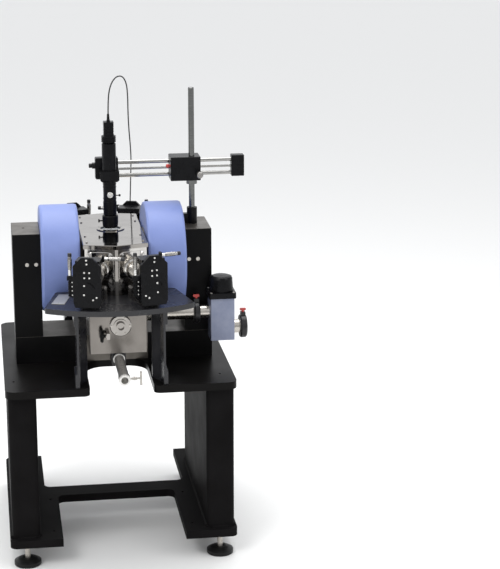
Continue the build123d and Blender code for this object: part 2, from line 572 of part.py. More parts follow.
def build_unit(name, turn):
    """One manipulator: rail, sled with its column, lifting face plate, cross carriage and arm."""
    spin = Rot(0, 0, turn)
    deck = PLATFORM_TOP
    half, out = UNIT_HALF_WIDTH, -UNIT_OUTER
    sled_bottom = deck + RAIL_HEIGHT + SEAT_GAP
    sled_top = sled_bottom + SLED_HEIGHT

    rail_out = out + REACH_TRAVEL + 2
    rail_inner = -SLED_INNER + REACH_TRAVEL + 3
    rail = block(-half, half, rail_out, rail_inner, deck, deck + 6)
    for u in (-15, 15):
        rail += block(u - 5, u + 5, rail_out, rail_inner, deck + 5, deck + RAIL_HEIGHT)
    node("manipulator_rails", spin * rail)
    pier_outer = -SLED_INNER + REACH_TRAVEL + 3
    pier = block(-half - 4, half + 4, pier_outer, -CHAMBER_NOSE - 22, deck, deck + PIER_HEIGHT)
    pier = chamfer(pier.edges().filter_by(Axis.Y).group_by(Axis.Z)[-1], 5)
    for z in (deck + 13, deck + 20, deck + 27):
        for u in (-half - 4, half + 4):
            pier -= block(u - 2, u + 2, pier_outer, -CHAMBER_NOSE - 22, z, z + 3)
    node("manipulator_rails", spin * pier)

    sled = block(-half - 4, half + 4, out, -SLED_INNER, sled_bottom, sled_top)
    for u in (-15, 15):
        sled += block(u + 5.5, u + 8, out + 4, -SLED_INNER - 4, deck + 8, sled_bottom + 1)
        sled += block(u - 8, u - 5.5, out + 4, -SLED_INNER - 4, deck + 8, sled_bottom + 1)
    column = block(-half - 4, half + 4, out, out + COLUMN_THICK, sled_top, deck + COLUMN_TOP)
    ribs = []
    for u in (-half - 1.5, half + 1.5 - 4):
        rib = [(out + COLUMN_THICK, sled_top), (-SLED_INNER - 2, sled_top),
               (-SLED_INNER - 2, sled_top + RIB_HEIGHT - 5),
               (-SLED_INNER - 8, sled_top + RIB_HEIGHT),
               (out + COLUMN_THICK, sled_top + RIB_HEIGHT)]
        ribs.append(spin * side_profile(rib, u, u + 4))
    u = LIFT_THIMBLE_U
    bracket = block(u - 8, -half - 4, out + 1, out + COLUMN_THICK - 1, deck + 82, deck + 94)
    sleeve = upright(u, out + COLUMN_THICK / 2, deck + 76, deck + 112, SLEEVE_RADIUS)
    node("sled_" + name, spin * sled, spin * column, spin * (bracket + sleeve), *ribs)

    y0 = out - SEAT_GAP
    outline = [
        (-PLATE_FOOT_HALF, PLATE_BOTTOM), (PLATE_FOOT_HALF, PLATE_BOTTOM),
        (PLATE_HALF_WIDTH, PLATE_BOTTOM + 14), (PLATE_HALF_WIDTH, PLATE_TOP - PLATE_BEVEL),
        (PLATE_HALF_WIDTH - PLATE_BEVEL, PLATE_TOP), (-PLATE_HALF_WIDTH + PLATE_BEVEL, PLATE_TOP),
        (-PLATE_HALF_WIDTH, PLATE_TOP - PLATE_BEVEL), (-PLATE_HALF_WIDTH, PLATE_BOTTOM + 14),
    ]
    face = make_face(Polyline(*[(u, y0, deck + z) for u, z in outline], close=True))
    plate = extrude(face, PLATE_THICK, dir=(0, -1, 0))
    plate = chamfer(plate.faces().sort_by(Axis.Y)[0].edges(), 0.8)
    arc = CenterArc((0, 0), 22, 20, 62)
    groove = extrude(Pos(0, y0 - PLATE_THICK, deck + 58) * Rot(90, 0, 0)
                     * make_face(offset(arc, 1.9, side=Side.BOTH)), -3)
    plate -= groove
    inner = -BRIDGE_INNER
    bridge = block(-half - 8, half + 8, y0, inner, deck + BRIDGE_BOTTOM, deck + BRIDGE_TOP)
    for u in (-12, 12):
        bridge -= block(u - 4, u + 4, inner - 12, inner + 1, deck + BRIDGE_BOTTOM,
                        deck + BRIDGE_BOTTOM + 5)
    mic_y = inner - CARRIAGE_THICK / 2
    mic_z = deck + BRIDGE_TOP - 2
    holder = block(half + 8, half + 14, mic_y - 7, mic_y + 7, mic_z - 9, mic_z + 9)
    holder += along_x(half + 8, half + 24, mic_y, mic_z, SLEEVE_RADIUS)
    node("lift_plate_" + name, spin * plate, spin * bridge, spin * holder)

    carriage_top = deck + BRIDGE_BOTTOM - SEAT_GAP
    carriage = block(-CARRIAGE_HALF, CARRIAGE_HALF, inner - CARRIAGE_THICK, inner,
                     deck + CARRIAGE_BOTTOM, carriage_top)
    carriage = chamfer(carriage.edges().filter_by(Axis.Y).group_by(Axis.Z)[0], 6)
    flange = -BELLOWS_OUTER
    carriage += along_y(0, inner, flange, ARM_Z, 9)
    carriage += along_y(0, flange - FLANGE_THICK, flange, ARM_Z, PORT_RADIUS - 1)
    carriage -= along_y(0, inner - CARRIAGE_THICK, flange, ARM_Z, ARM_RADIUS + FIT_GAP)
    arm = along_y(0, inner - CARRIAGE_THICK, -ARM_INNER, ARM_Z, ARM_RADIUS)
    tip_face = make_face(Polyline(
        (0, -ARM_INNER - 4, ARM_Z - 2), (0, -ARM_INNER - 4, ARM_Z + 1),
        (0, -TIP_REACH - 6, TIP_Z + 1.6), (0, -TIP_REACH, TIP_Z), (0, -TIP_REACH - 9, TIP_Z + 0.4),
        close=True))
    arm += extrude(tip_face, 1.2, dir=(1, 0, 0), both=True)
    node("arm_carriage_" + name, spin * carriage, spin * arm)

    top = deck + 112 + SEAT_GAP
    lift = round_body(thimble_profile(), (LIFT_THIMBLE_U, out + COLUMN_THICK / 2, top))
    node("lift_thimble_" + name, spin * lift)
    cross = round_body(thimble_profile(), (half + 24 + SEAT_GAP, mic_y, mic_z), "x")
    node("cross_thimble_" + name, spin * cross)


def thimble_profile():
    """A micrometer thimble: bevelled skirt, barrel, and a narrower ratchet cap."""
    r, length = THIMBLE_RADIUS, THIMBLE_LENGTH
    return [
        (0, 0), (r - 1.4, 0), (r, 5), (r, length - 14), (r - 0.8, length - 13),
        (r - 0.8, length - 9), (r - 0.2, length - 8), (r - 0.2, length - 1), (r - 1.2, length),
        (0, length),
    ]


def build_valve():
    """The pump line, its clamps, and the square-bodied angle valve with a domed cap."""
    start = HOUSING_HALF_WIDTH
    left = CLAMP_X - CLAMP_WIDTH / 2
    right = CLAMP_X + CLAMP_WIDTH / 2
    body_left, body_right = VALVE_X - VALVE_SIDE / 2, VALVE_X + VALVE_SIDE / 2
    line = along_x(start, left + 4, LINE_Y, LINE_Z, LINE_RADIUS)
    line += along_x(start, start + 8, LINE_Y, LINE_Z, LINE_RADIUS + 12)
    line -= along_x(start + 20, left + 5, LINE_Y, LINE_Z, LINE_RADIUS - 2)
    node("pump_line", line)
    ring_line = [
        (LINE_RADIUS + SEAT_GAP, 0), (CLAMP_RADIUS - 3, 0), (CLAMP_RADIUS, 4),
        (CLAMP_RADIUS, CLAMP_WIDTH - 4), (CLAMP_RADIUS - 3, CLAMP_WIDTH),
        (LINE_RADIUS + SEAT_GAP, CLAMP_WIDTH),
    ]
    node("pump_line", round_body(ring_line, (left, LINE_Y, LINE_Z), "x"))
    y0, y1 = LINE_Y - VALVE_SIDE / 2, LINE_Y + VALVE_SIDE / 2
    body = block(body_left, body_right, y0, y1, VALVE_BOTTOM, VALVE_TOP)
    body = fillet(body.edges().filter_by(Axis.Z), 2.5)
    body += along_x(left + 5, body_left + 1, LINE_Y, LINE_Z, LINE_RADIUS)
    body += along_x(body_right - 1, body_right + OUTLET_LENGTH, LINE_Y, OUTLET_Z, LINE_RADIUS)
    node("valve_body", body)
    half = VALVE_FLANGE / 2
    flange_top = VALVE_TOP + VALVE_FLANGE_THICK
    flange = block(VALVE_X - half, VALVE_X + half, LINE_Y - half, LINE_Y + half, VALVE_TOP,
                   flange_top)
    flange = fillet(flange.edges().filter_by(Axis.Z), 6)
    node("valve_bonnet", flange)
    cap_line = [
        (0, 0), (CAP_RADIUS, 0), (CAP_RADIUS + 0.5, 4), (CAP_RADIUS - 2, CAP_HEIGHT - 9),
        (CAP_RADIUS - 4, CAP_HEIGHT - 4), (CAP_RADIUS - 10, CAP_HEIGHT - 1.5), (0, CAP_HEIGHT),
    ]
    node("valve_bonnet", round_body(cap_line, (VALVE_X, LINE_Y, flange_top)))
    outlet = body_right + OUTLET_LENGTH
    end_line = [
        (0, 0), (LINE_RADIUS, 0), (CLAMP_RADIUS - 1, 0), (CLAMP_RADIUS + 1.5, 4),
        (CLAMP_RADIUS + 1.5, 16), (CLAMP_RADIUS - 2, 20), (0, 20),
    ]
    node("pump_line", round_body(end_line, (outlet, LINE_Y, OUTLET_Z), "x"))
    for name, x, z, r in (
        ("line_clamp_knob", CLAMP_X, LINE_Z, CLAMP_RADIUS),
        ("outlet_clamp_knob", outlet + 10, OUTLET_Z, CLAMP_RADIUS + 1.5),
    ):
        lug = block(x - 7, x + 7, LINE_Y - 9, LINE_Y + 9, z + r - 2, z + r + 8)
        seat = z + r + 8 + SEAT_GAP
        screw = upright(x, LINE_Y, seat, seat + 4, 4)
        screw += Pos(x, LINE_Y, seat + 7.5) * Box(18, 5, 7)
        screw = fillet(screw.edges().filter_by(Axis.Y), 2.5)
        node("pump_line", lug - along_x(x - 8, x + 8, LINE_Y, z, r + SEAT_GAP))
        node(name, screw)


def build_boom():
    """The post in its socket, and the swinging boom with its twin rods."""
    socket_top = YOKE_TOP + SOCKET_HEIGHT
    socket = upright(POST_X, 0, YOKE_TOP, socket_top, SOCKET_RADIUS)
    socket += block(POST_X - 30, POST_X, -9, 9, YOKE_TOP, YOKE_TOP + 30)
    socket = socket - upright(POST_X, 0, YOKE_TOP + 2, socket_top, POST_RADIUS + FIT_GAP)
    node("post_socket", socket)
    post = upright(POST_X, 0, YOKE_TOP + 2, POST_TOP, POST_RADIUS)
    post = chamfer(post.edges().group_by(Axis.Z)[-1], 1.5)
    node("boom_post", post)
    collar_top = BLOCK_BOTTOM - SEAT_GAP
    collar = upright(POST_X, 0, collar_top - COLLAR_HEIGHT, collar_top, COLLAR_RADIUS)
    collar -= upright(POST_X, 0, collar_top - COLLAR_HEIGHT, collar_top, POST_RADIUS + FIT_GAP)
    node("boom_post", collar)

    body = block(BLOCK_LEFT, BLOCK_RIGHT, -18, ROD_Y + 14, BLOCK_BOTTOM, BLOCK_TOP)
    body = chamfer(body.edges(), 1.2)
    body -= upright(POST_X, 0, BLOCK_BOTTOM, BLOCK_TOP, POST_RADIUS + FIT_GAP)
    rods = [(UPPER_ROD_Z, ROD_RADIUS), (LOWER_ROD_Z, ROD_RADIUS),
            ((UPPER_ROD_Z + LOWER_ROD_Z) / 2, THIN_ROD_RADIUS)]
    end_left = BOOM_END - 38
    for z, r in rods:
        body -= along_x(BLOCK_LEFT, BLOCK_RIGHT, ROD_Y, z, r + FIT_GAP)
        node("boom_rods", along_x(20, end_left + 14, ROD_Y, z, r))
    knob_x, knob_z = BLOCK_RIGHT - 6, BLOCK_BOTTOM + 21
    node("boom_blocks", body)
    handle_line = [(0, 0), (7, 0), (7, 14), (10, 16), (10, 30), (8, 32), (0, 32)]
    node("boom_knob", round_body(handle_line, (knob_x, -18 - SEAT_GAP, knob_z), "y"))
    red_line = [(0, 0), (4, 0), (4, 3), (6, 5), (6, 9), (4, 12), (0, 13)]
    red = round_body(red_line, (0, 0, 0), "x")
    red = Pos(BLOCK_LEFT - SEAT_GAP, -4, UPPER_ROD_Z - 8) * mirror(red, Plane.YZ)
    node("rod_lock_knob", red)
    end = block(end_left, BOOM_END, ROD_Y - 14, ROD_Y + 14, LOWER_ROD_Z - 10, UPPER_ROD_Z + 14)
    end = chamfer(end.edges(), 1.5)
    for z, r in rods:
        end -= along_x(end_left, end_left + 14, ROD_Y, z, r + FIT_GAP)
    node("boom_blocks", end)

    slab_front = CLAMP_HALF - 6.5
    slab = block(-FOCUS_SLAB_LEFT, 28, slab_front, FOCUS_SLAB_BACK, LOWER_ROD_Z - 8, UPPER_ROD_Z + 16)
    slab = chamfer(slab.edges().filter_by(Axis.Y), 3)
    for z, r in rods:
        slab -= along_x(20, 28, ROD_Y, z, r + FIT_GAP)
    knob_z = UPPER_ROD_Z - 8
    slab -= along_x(-FOCUS_SLAB_LEFT, -FOCUS_SLAB_LEFT + 16, ROD_Y, knob_z, 3 + FIT_GAP)
    node("focus_slab", slab)
    focus_line = [
        (0, -12), (3, -12), (3, SEAT_GAP), (9, SEAT_GAP), (9, 8), (6.5, 9), (6.5, 17), (5.5, 18),
        (0, 18),
    ]
    knob = mirror(round_body(focus_line, (0, 0, 0), "x"), Plane.YZ)
    node("focus_knob", Pos(-FOCUS_SLAB_LEFT, ROD_Y, knob_z) * knob)


def build_microscope():
    """The zoom tube, its clamp, zoom ring, ring light and camera."""
    clamp = block(-CLAMP_HALF, CLAMP_HALF, -CLAMP_HALF, CLAMP_HALF - 6.5 - SEAT_GAP, CLAMP_BOTTOM,
                  CLAMP_TOP)
    clamp = chamfer(clamp.edges().filter_by(Axis.Z), 6)
    clamp = chamfer(clamp.edges().group_by(Axis.Z)[0], 5)
    clamp -= upright(0, 0, CLAMP_BOTTOM, CLAMP_TOP, LOWER_TUBE_RADIUS)
    node("tube_clamp", clamp)
    ring_z0, ring_z1 = YOKE_TOP + 48, YOKE_TOP + 72
    tube_line = [
        (0, RING_LIGHT_TOP - 8), (14, RING_LIGHT_TOP - 8), (14, RING_LIGHT_TOP),
        (LOWER_TUBE_RADIUS, RING_LIGHT_TOP + 2), (LOWER_TUBE_RADIUS, ring_z0 - 0.3),
        (LOWER_TUBE_RADIUS - 3.5, ring_z0 - 0.3), (LOWER_TUBE_RADIUS - 3.5, ring_z1 + 0.3),
        (LOWER_TUBE_RADIUS, ring_z1 + 0.3), (LOWER_TUBE_RADIUS, CLAMP_TOP),
        (TUBE_RADIUS, CLAMP_TOP), (TUBE_RADIUS, TUBE_TOP - 4), (TUBE_RADIUS - 2, TUBE_TOP - 2),
        (TUBE_RADIUS - 5, TUBE_TOP), (0, TUBE_TOP),
    ]
    tube = round_body(tube_line)
    tube = tube - Pos(0, -LOWER_TUBE_RADIUS - 6, YOKE_TOP + 94) * Box(18, 16, 22)
    node("zoom_tube", tube)
    zoom_ring = upright(0, 0, ring_z0, ring_z1, LOWER_TUBE_RADIUS + 0.9)
    zoom_ring -= upright(0, 0, ring_z0, ring_z1, LOWER_TUBE_RADIUS - 3.5 + FIT_GAP)
    for k in range(16):
        a = math.radians(22.5 * k)
        groove = LOWER_TUBE_RADIUS + 1.4
        zoom_ring -= upright(groove * math.cos(a), groove * math.sin(a), ring_z0 + 3, ring_z1 - 3, 1.3)
    zoom_ring += along_x(LOWER_TUBE_RADIUS, LOWER_TUBE_RADIUS + 9, 0, (ring_z0 + ring_z1) / 2, 2)
    node("zoom_ring", zoom_ring)
    light_line = [
        (14 + SEAT_GAP, RING_LIGHT_BOTTOM + 8), (16, RING_LIGHT_BOTTOM), (20, RING_LIGHT_BOTTOM),
        (RING_LIGHT_RADIUS - 1, RING_LIGHT_BOTTOM + 4), (RING_LIGHT_RADIUS, RING_LIGHT_BOTTOM + 16),
        (RING_LIGHT_RADIUS, RING_LIGHT_TOP - 3), (RING_LIGHT_RADIUS - 2, RING_LIGHT_TOP),
        (14 + SEAT_GAP, RING_LIGHT_TOP),
    ]
    light = round_body(light_line)
    node("ring_light", light)
    thumb_line = [(0, 0), (2, 0), (2, 7), (5, 8), (5, 12), (0, 12)]
    thumb = mirror(round_body(thumb_line, (0, 0, 0), "x"), Plane.YZ)
    node("ring_light", Pos(-RING_LIGHT_RADIUS, 0, RING_LIGHT_BOTTOM + 19) * thumb)
    coupler_line = [(0, TUBE_TOP), (14, TUBE_TOP)]
    z = TUBE_TOP + 1.0
    while z < CAMERA_BOTTOM - 3:
        coupler_line += [(COUPLER_RADIUS - 1.5, z), (COUPLER_RADIUS, z + 0.8),
                         (COUPLER_RADIUS, z + 3.2), (COUPLER_RADIUS - 1.5, z + 4)]
        z += 5.0
    coupler_line += [(14, CAMERA_BOTTOM), (0, CAMERA_BOTTOM)]
    node("camera_head", round_body(coupler_line))
    camera = block(-CAMERA_HALF, CAMERA_HALF, -CAMERA_HALF, CAMERA_HALF, CAMERA_BOTTOM, CAMERA_TOP)
    camera = fillet(camera.edges().filter_by(Axis.Z), 2)
    for z in (CAMERA_BOTTOM + 8, CAMERA_BOTTOM + 16, CAMERA_BOTTOM + 24):
        rim = block(-CAMERA_HALF - 1, CAMERA_HALF + 1, -CAMERA_HALF - 1, CAMERA_HALF + 1, z, z + 3)
        core = 2 * CAMERA_HALF - 3
        camera -= rim - Pos(0, 0, z + 1.5) * Box(core, core, 3)
    bore = upright(0, 0, CABLE_POINTS[0][2] - FOCUS_TRAVEL - 2, CAMERA_TOP + 40, CABLE_BORE)
    relief_line = [
        (0, CAMERA_TOP), (5.2, CAMERA_TOP), (5.2, CAMERA_TOP + 4), (4.2, CAMERA_TOP + 6),
        (3.3, CAMERA_TOP + RELIEF_HEIGHT), (0, CAMERA_TOP + RELIEF_HEIGHT),
    ]
    node("camera_head", camera - bore)
    node("camera_head", round_body(relief_line) - bore)


def build_cable():
    """The camera's cable: free stretch, put-away coil on the table, and plug."""
    points = [Vector(*p) for p in CABLE_POINTS]
    radii = []
    for a, b, c in zip(points, points[1:], points[2:]):
        turn = (b - a).get_angle(c - b)
        short = min((b - a).length, (c - b).length)
        radii.append(round(0.45 * short / math.tan(math.radians(turn / 2)), 1))
    route = FilletPolyline(*points, radius=radii)
    start = Plane(origin=points[0], z_dir=points[1] - points[0])
    cable = sweep(start * Circle(CABLE_RADIUS), path=route)
    length = sum(e.length for e in route.edges())
    print("cable radii", radii)
    print("cable length", round(length, 1), "volume ratio",
          round(cable.volume / (math.pi * CABLE_RADIUS ** 2 * length), 4))
    node("camera_cable", cable)
    wide = COIL_WIDTH_TURNS * CABLE_RADIUS + 0.4
    high = COIL_LAYERS * 2 * CABLE_RADIUS + 0.4
    outer, inner = COIL_MIDDLE + wide, COIL_MIDDLE - wide
    coil = upright(COIL_X, COIL_Y, TABLE_TOP, TABLE_TOP + high, outer)
    coil -= upright(COIL_X, COIL_Y, TABLE_TOP, TABLE_TOP + high, inner)
    node("cable_coil", coil)
    plug_x = COIL_X - COIL_MIDDLE - 7.5
    reach = plug_x + 6 - COIL_X
    plug_y = COIL_Y + math.sqrt(outer ** 2 - reach ** 2) + 0.2
    plug = block(plug_x - 6, plug_x + 6, plug_y, plug_y + 26, TABLE_TOP, TABLE_TOP + 8)
    plug = fillet(plug.edges().filter_by(Axis.Y), 2)
    tip_y = plug_y + 26
    plug += block(plug_x - 5, plug_x + 5, tip_y - 1, tip_y + 13, TABLE_TOP + 1.7, TABLE_TOP + 6.3)
    node("cable_plug", plug)


build_frame()
build_magnet()
build_chamber()
build_housing()
build_platforms()
for unit_name, unit_turn in UNITS:
    build_unit(unit_name, unit_turn)
build_valve()
build_boom()
build_microscope()
build_cable()

for part_name, solids in sorted(parts.items()):
    shape = solids[0] if len(solids) == 1 else Compound(solids)
    export_step(shape, "parts/" + part_name + ".step")
print(len(parts), "nodes")
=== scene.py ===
"""Wafer probe station: finishes, hardware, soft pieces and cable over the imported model.

Everything is in metres in the station's own frame: +Z up, +X right along the magnet axis,
-Y towards the person who works at it, origin on the floor under the sample."""

import logging
import math
from dataclasses import dataclass
from typing import Sequence

import bmesh
import bpy
import numpy as np
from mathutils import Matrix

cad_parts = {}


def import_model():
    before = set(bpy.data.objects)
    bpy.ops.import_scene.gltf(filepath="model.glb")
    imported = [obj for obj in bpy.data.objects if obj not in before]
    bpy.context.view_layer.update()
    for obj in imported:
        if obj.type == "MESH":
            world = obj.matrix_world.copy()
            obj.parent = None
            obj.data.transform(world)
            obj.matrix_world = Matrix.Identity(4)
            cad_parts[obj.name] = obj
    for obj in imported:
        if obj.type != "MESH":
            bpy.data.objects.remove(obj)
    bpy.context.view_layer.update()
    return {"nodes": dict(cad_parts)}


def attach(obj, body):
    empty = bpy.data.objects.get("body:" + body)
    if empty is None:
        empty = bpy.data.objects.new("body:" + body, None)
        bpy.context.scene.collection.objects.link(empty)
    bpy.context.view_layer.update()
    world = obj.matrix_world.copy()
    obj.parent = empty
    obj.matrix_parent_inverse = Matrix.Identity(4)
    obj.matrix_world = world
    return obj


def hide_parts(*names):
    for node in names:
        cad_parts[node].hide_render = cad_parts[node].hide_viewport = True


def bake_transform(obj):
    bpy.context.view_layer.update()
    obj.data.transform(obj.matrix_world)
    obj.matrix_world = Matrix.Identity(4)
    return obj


LOG = logging.getLogger("probe_station")
SMOOTH_BELOW = math.radians(35)
Vec = tuple[float, float, float]


@dataclass(frozen=True)
class Finish:
    """One surface finish and the numbers of its node material."""

    name: str
    slot: str
    colour: Vec
    tone: Vec
    metallic: float = 0.0
    rough: tuple[float, float] = (0.35, 0.5)
    grain: float = 60.0
    stretch: Vec = (1.0, 1.0, 1.0)
    fine: float = 900.0
    bump: float = 0.05
    coat: float = 0.0
    specular: float = 0.5

    def layers(self, tree: bpy.types.NodeTree) -> tuple:
        """The colour, roughness and normal of this finish as sockets.

        Two noises in object coordinates: a coarse one mixes the two tones and sets the
        roughness, a fine one gives the bump.

        Args:
            tree: The node tree to build them in.

        Returns:
            The sockets for colour, roughness and normal.
        """
        nodes, links = tree.nodes, tree.links
        place = nodes.new("ShaderNodeTexCoord")
        stretch = nodes.new("ShaderNodeMapping")
        stretch.inputs["Scale"].default_value = self.stretch
        links.new(place.outputs["Object"], stretch.inputs["Vector"])
        coarse = nodes.new("ShaderNodeTexNoise")
        coarse.inputs["Scale"].default_value = self.grain
        coarse.inputs["Detail"].default_value = 4.0
        coarse.inputs["Roughness"].default_value = 0.6
        links.new(stretch.outputs["Vector"], coarse.inputs["Vector"])
        ramp = nodes.new("ShaderNodeValToRGB")
        ramp.color_ramp.elements[0].position = 0.35
        ramp.color_ramp.elements[0].color = (*self.colour, 1.0)
        ramp.color_ramp.elements[1].position = 0.65
        ramp.color_ramp.elements[1].color = (*self.tone, 1.0)
        links.new(coarse.outputs["Fac"], ramp.inputs["Fac"])
        span = nodes.new("ShaderNodeMapRange")
        span.inputs["From Min"].default_value = 0.3
        span.inputs["From Max"].default_value = 0.7
        span.inputs["To Min"].default_value = self.rough[0]
        span.inputs["To Max"].default_value = self.rough[1]
        links.new(coarse.outputs["Fac"], span.inputs["Value"])
        fine = nodes.new("ShaderNodeTexNoise")
        fine.inputs["Scale"].default_value = self.fine
        fine.inputs["Detail"].default_value = 2.0
        links.new(stretch.outputs["Vector"], fine.inputs["Vector"])
        bump = nodes.new("ShaderNodeBump")
        bump.inputs["Strength"].default_value = self.bump
        bump.inputs["Distance"].default_value = 0.0004
        links.new(fine.outputs["Fac"], bump.inputs["Height"])
        return ramp.outputs["Color"], span.outputs["Result"], bump.outputs["Normal"]

    def material(self) -> bpy.types.Material:
        """The node material of this finish, made once.

        Returns:
            The material.
        """
        label = f"finish_{self.name}"
        known = bpy.data.materials.get(label)
        if known:
            return known
        made = bpy.data.materials.new(label)
        made.use_nodes = True
        tree = made.node_tree
        shader = tree.nodes["Principled BSDF"]
        for socket, source in zip(("Base Color", "Roughness", "Normal"), self.layers(tree)):
            tree.links.new(source, shader.inputs[socket])
        shader.inputs["Metallic"].default_value = self.metallic
        shader.inputs["Specular IOR Level"].default_value = self.specular
        shader.inputs["Coat Weight"].default_value = self.coat
        shader.inputs["Coat Roughness"].default_value = 0.2
        return made


@dataclass(frozen=True)
class Banded:
    """Two finishes on one node: the second one shows inside bands across an axis."""

    name: str
    main: Finish
    other: Finish
    bands: tuple[tuple[int, float, float], ...]

    def material(self) -> bpy.types.Material:
        """The node material, made once: a band is low < coordinate < high, and any band counts.

        The mask mixes the two finishes' colour, roughness, metal and specular; the bump is
        the main finish's.

        Returns:
            The material.
        """
        label = f"finish_{self.name}"
        known = bpy.data.materials.get(label)
        if known:
            return known
        made = bpy.data.materials.new(label)
        made.use_nodes = True
        tree = made.node_tree
        nodes, links = tree.nodes, tree.links
        shader = nodes["Principled BSDF"]
        place = nodes.new("ShaderNodeTexCoord")
        split = nodes.new("ShaderNodeSeparateXYZ")
        links.new(place.outputs["Object"], split.inputs["Vector"])
        mask = None
        for axis, low, high in self.bands:
            band = nodes.new("ShaderNodeMath")
            band.operation = "COMPARE"
            band.inputs[1].default_value = (low + high) / 2
            band.inputs[2].default_value = (high - low) / 2
            links.new(split.outputs[axis], band.inputs[0])
            if mask is None:
                mask = band.outputs[0]
                continue
            either = nodes.new("ShaderNodeMath")
            either.operation = "MAXIMUM"
            links.new(mask, either.inputs[0])
            links.new(band.outputs[0], either.inputs[1])
            mask = either.outputs[0]
        first, second = self.main.layers(tree), self.other.layers(tree)
        colour = nodes.new("ShaderNodeMix")
        colour.data_type = "RGBA"
        links.new(mask, colour.inputs[0])
        links.new(first[0], colour.inputs[6])
        links.new(second[0], colour.inputs[7])
        links.new(colour.outputs[2], shader.inputs["Base Color"])
        rough = nodes.new("ShaderNodeMix")
        links.new(mask, rough.inputs[0])
        links.new(first[1], rough.inputs[2])
        links.new(second[1], rough.inputs[3])
        links.new(rough.outputs[0], shader.inputs["Roughness"])
        metal = nodes.new("ShaderNodeMapRange")
        metal.inputs["To Min"].default_value = self.main.metallic
        metal.inputs["To Max"].default_value = self.other.metallic
        links.new(mask, metal.inputs["Value"])
        links.new(metal.outputs["Result"], shader.inputs["Metallic"])
        sheen = nodes.new("ShaderNodeMapRange")
        sheen.inputs["To Min"].default_value = self.main.specular
        sheen.inputs["To Max"].default_value = self.other.specular
        links.new(mask, sheen.inputs["Value"])
        links.new(sheen.outputs["Result"], shader.inputs["Specular IOR Level"])
        links.new(first[2], shader.inputs["Normal"])
        return made


BLACK_COAT = Finish("frame_black_coat", "frame_black", (0.0065, 0.006, 0.0062),
                    (0.009, 0.0085, 0.0088), rough=(0.5, 0.6), grain=9.0, fine=1400.0, bump=0.08,
                    specular=0.02)
TABLE_COAT = Finish("table_coat", "frame_black", (0.0045, 0.0042, 0.004),
                    (0.0065, 0.006, 0.0058), rough=(0.28, 0.38), grain=7.0, fine=1400.0, bump=0.1,
                    specular=0.07)
FOOT_STEEL = Finish("foot_steel", "foot_steel", (0.5, 0.47, 0.43),
                    (0.36, 0.34, 0.31), metallic=1.0, rough=(0.25, 0.42), grain=90.0,
                    stretch=(1, 1, 6), bump=0.08)
SCREW_STEEL = Finish("screw_steel", "screw_steel", (0.55, 0.52, 0.48),
                     (0.42, 0.4, 0.37), metallic=1.0, rough=(0.2, 0.38), grain=240.0, bump=0.05)
YOKE_STEEL = Finish("yoke_plate", "yoke_steel", (0.13, 0.118, 0.104),
                    (0.102, 0.093, 0.082), metallic=0.75, rough=(0.3, 0.46), grain=14.0,
                    fine=700.0, bump=0.1)
YOKE_BLACK = Finish("yoke_black_paint", "frame_black", (0.004, 0.0039, 0.0041),
                    (0.006, 0.0058, 0.006), rough=(0.32, 0.44), grain=8.0, fine=1200.0, bump=0.12,
                    specular=0.07)
COIL_BLUE = Finish("coil_enamel", "coil_blue", (0.168, 0.222, 0.47),
                   (0.186, 0.243, 0.51), rough=(0.4, 0.52), grain=11.0, fine=900.0, bump=0.16,
                   specular=0.4)
MIRROR_STEEL = Finish("mirror_stainless", "stainless", (0.38, 0.36, 0.338),
                      (0.32, 0.302, 0.283), metallic=1.0, rough=(0.04, 0.11), grain=16.0,
                      fine=260.0, bump=0.015)
SATIN_STEEL = Finish("satin_stainless", "stainless", (0.6, 0.57, 0.52),
                     (0.47, 0.44, 0.4), metallic=1.0, rough=(0.16, 0.3), grain=120.0,
                     stretch=(1, 1, 4), bump=0.05)
HOUSING_STEEL = Finish("housing_stainless", "stainless",
                       (0.235, 0.217, 0.2), (0.2, 0.185, 0.17), metallic=1.0,
                       rough=(0.12, 0.22), grain=14.0, fine=260.0, bump=0.02)
PORT_STEEL = Finish("port_stainless", "stainless", (0.72, 0.7, 0.67),
                    (0.6, 0.58, 0.555), metallic=1.0, rough=(0.06, 0.16), grain=22.0,
                    fine=260.0, bump=0.02)
GOLD_PLATE = Finish("gold_plate", "copper_plate", (0.75, 0.5, 0.22),
                    (0.66, 0.42, 0.18), metallic=1.0, rough=(0.15, 0.25), grain=60.0, bump=0.03)
BLACK_PLASTIC = Finish("black_plastic", "black_plastic", (0.006, 0.006, 0.006),
                       (0.009, 0.009, 0.009), rough=(0.36, 0.5), grain=80.0, bump=0.1,
                       specular=0.22)
ANODISED = Finish("black_anodised", "black_anodised", (0.0038, 0.0038, 0.0045),
                  (0.006, 0.006, 0.007), metallic=0.0, rough=(0.22, 0.34), grain=40.0,
                  fine=1600.0, bump=0.06, specular=0.12)
PLATFORM_BLACK = Finish("platform_anodised", "black_anodised",
                        (0.013, 0.013, 0.0155), (0.019, 0.019, 0.022), metallic=0.0,
                        rough=(0.24, 0.32), grain=5.0, fine=1500.0, bump=0.04, specular=0.5)
RAIL_STEEL = Finish("rail_steel", "rail_steel", (0.3, 0.29, 0.28),
                    (0.2, 0.19, 0.19), metallic=1.0, rough=(0.22, 0.36), grain=200.0, bump=0.05)
RED_PLASTIC = Finish("red_knob", "red_plastic", (0.42, 0.045, 0.04),
                     (0.5, 0.06, 0.05), rough=(0.32, 0.46), grain=120.0, bump=0.06)
VALVE_BLUE = Finish("valve_paint", "valve_blue", (0.2, 0.225, 0.32),
                    (0.25, 0.275, 0.37), metallic=0.25, rough=(0.34, 0.46), grain=30.0,
                    fine=1100.0, bump=0.14)
CHROME = Finish("chrome_rod", "chrome", (0.4, 0.395, 0.38), (0.33, 0.326, 0.315),
                metallic=1.0, rough=(0.07, 0.16), grain=60.0, stretch=(1, 1, 5), bump=0.01)
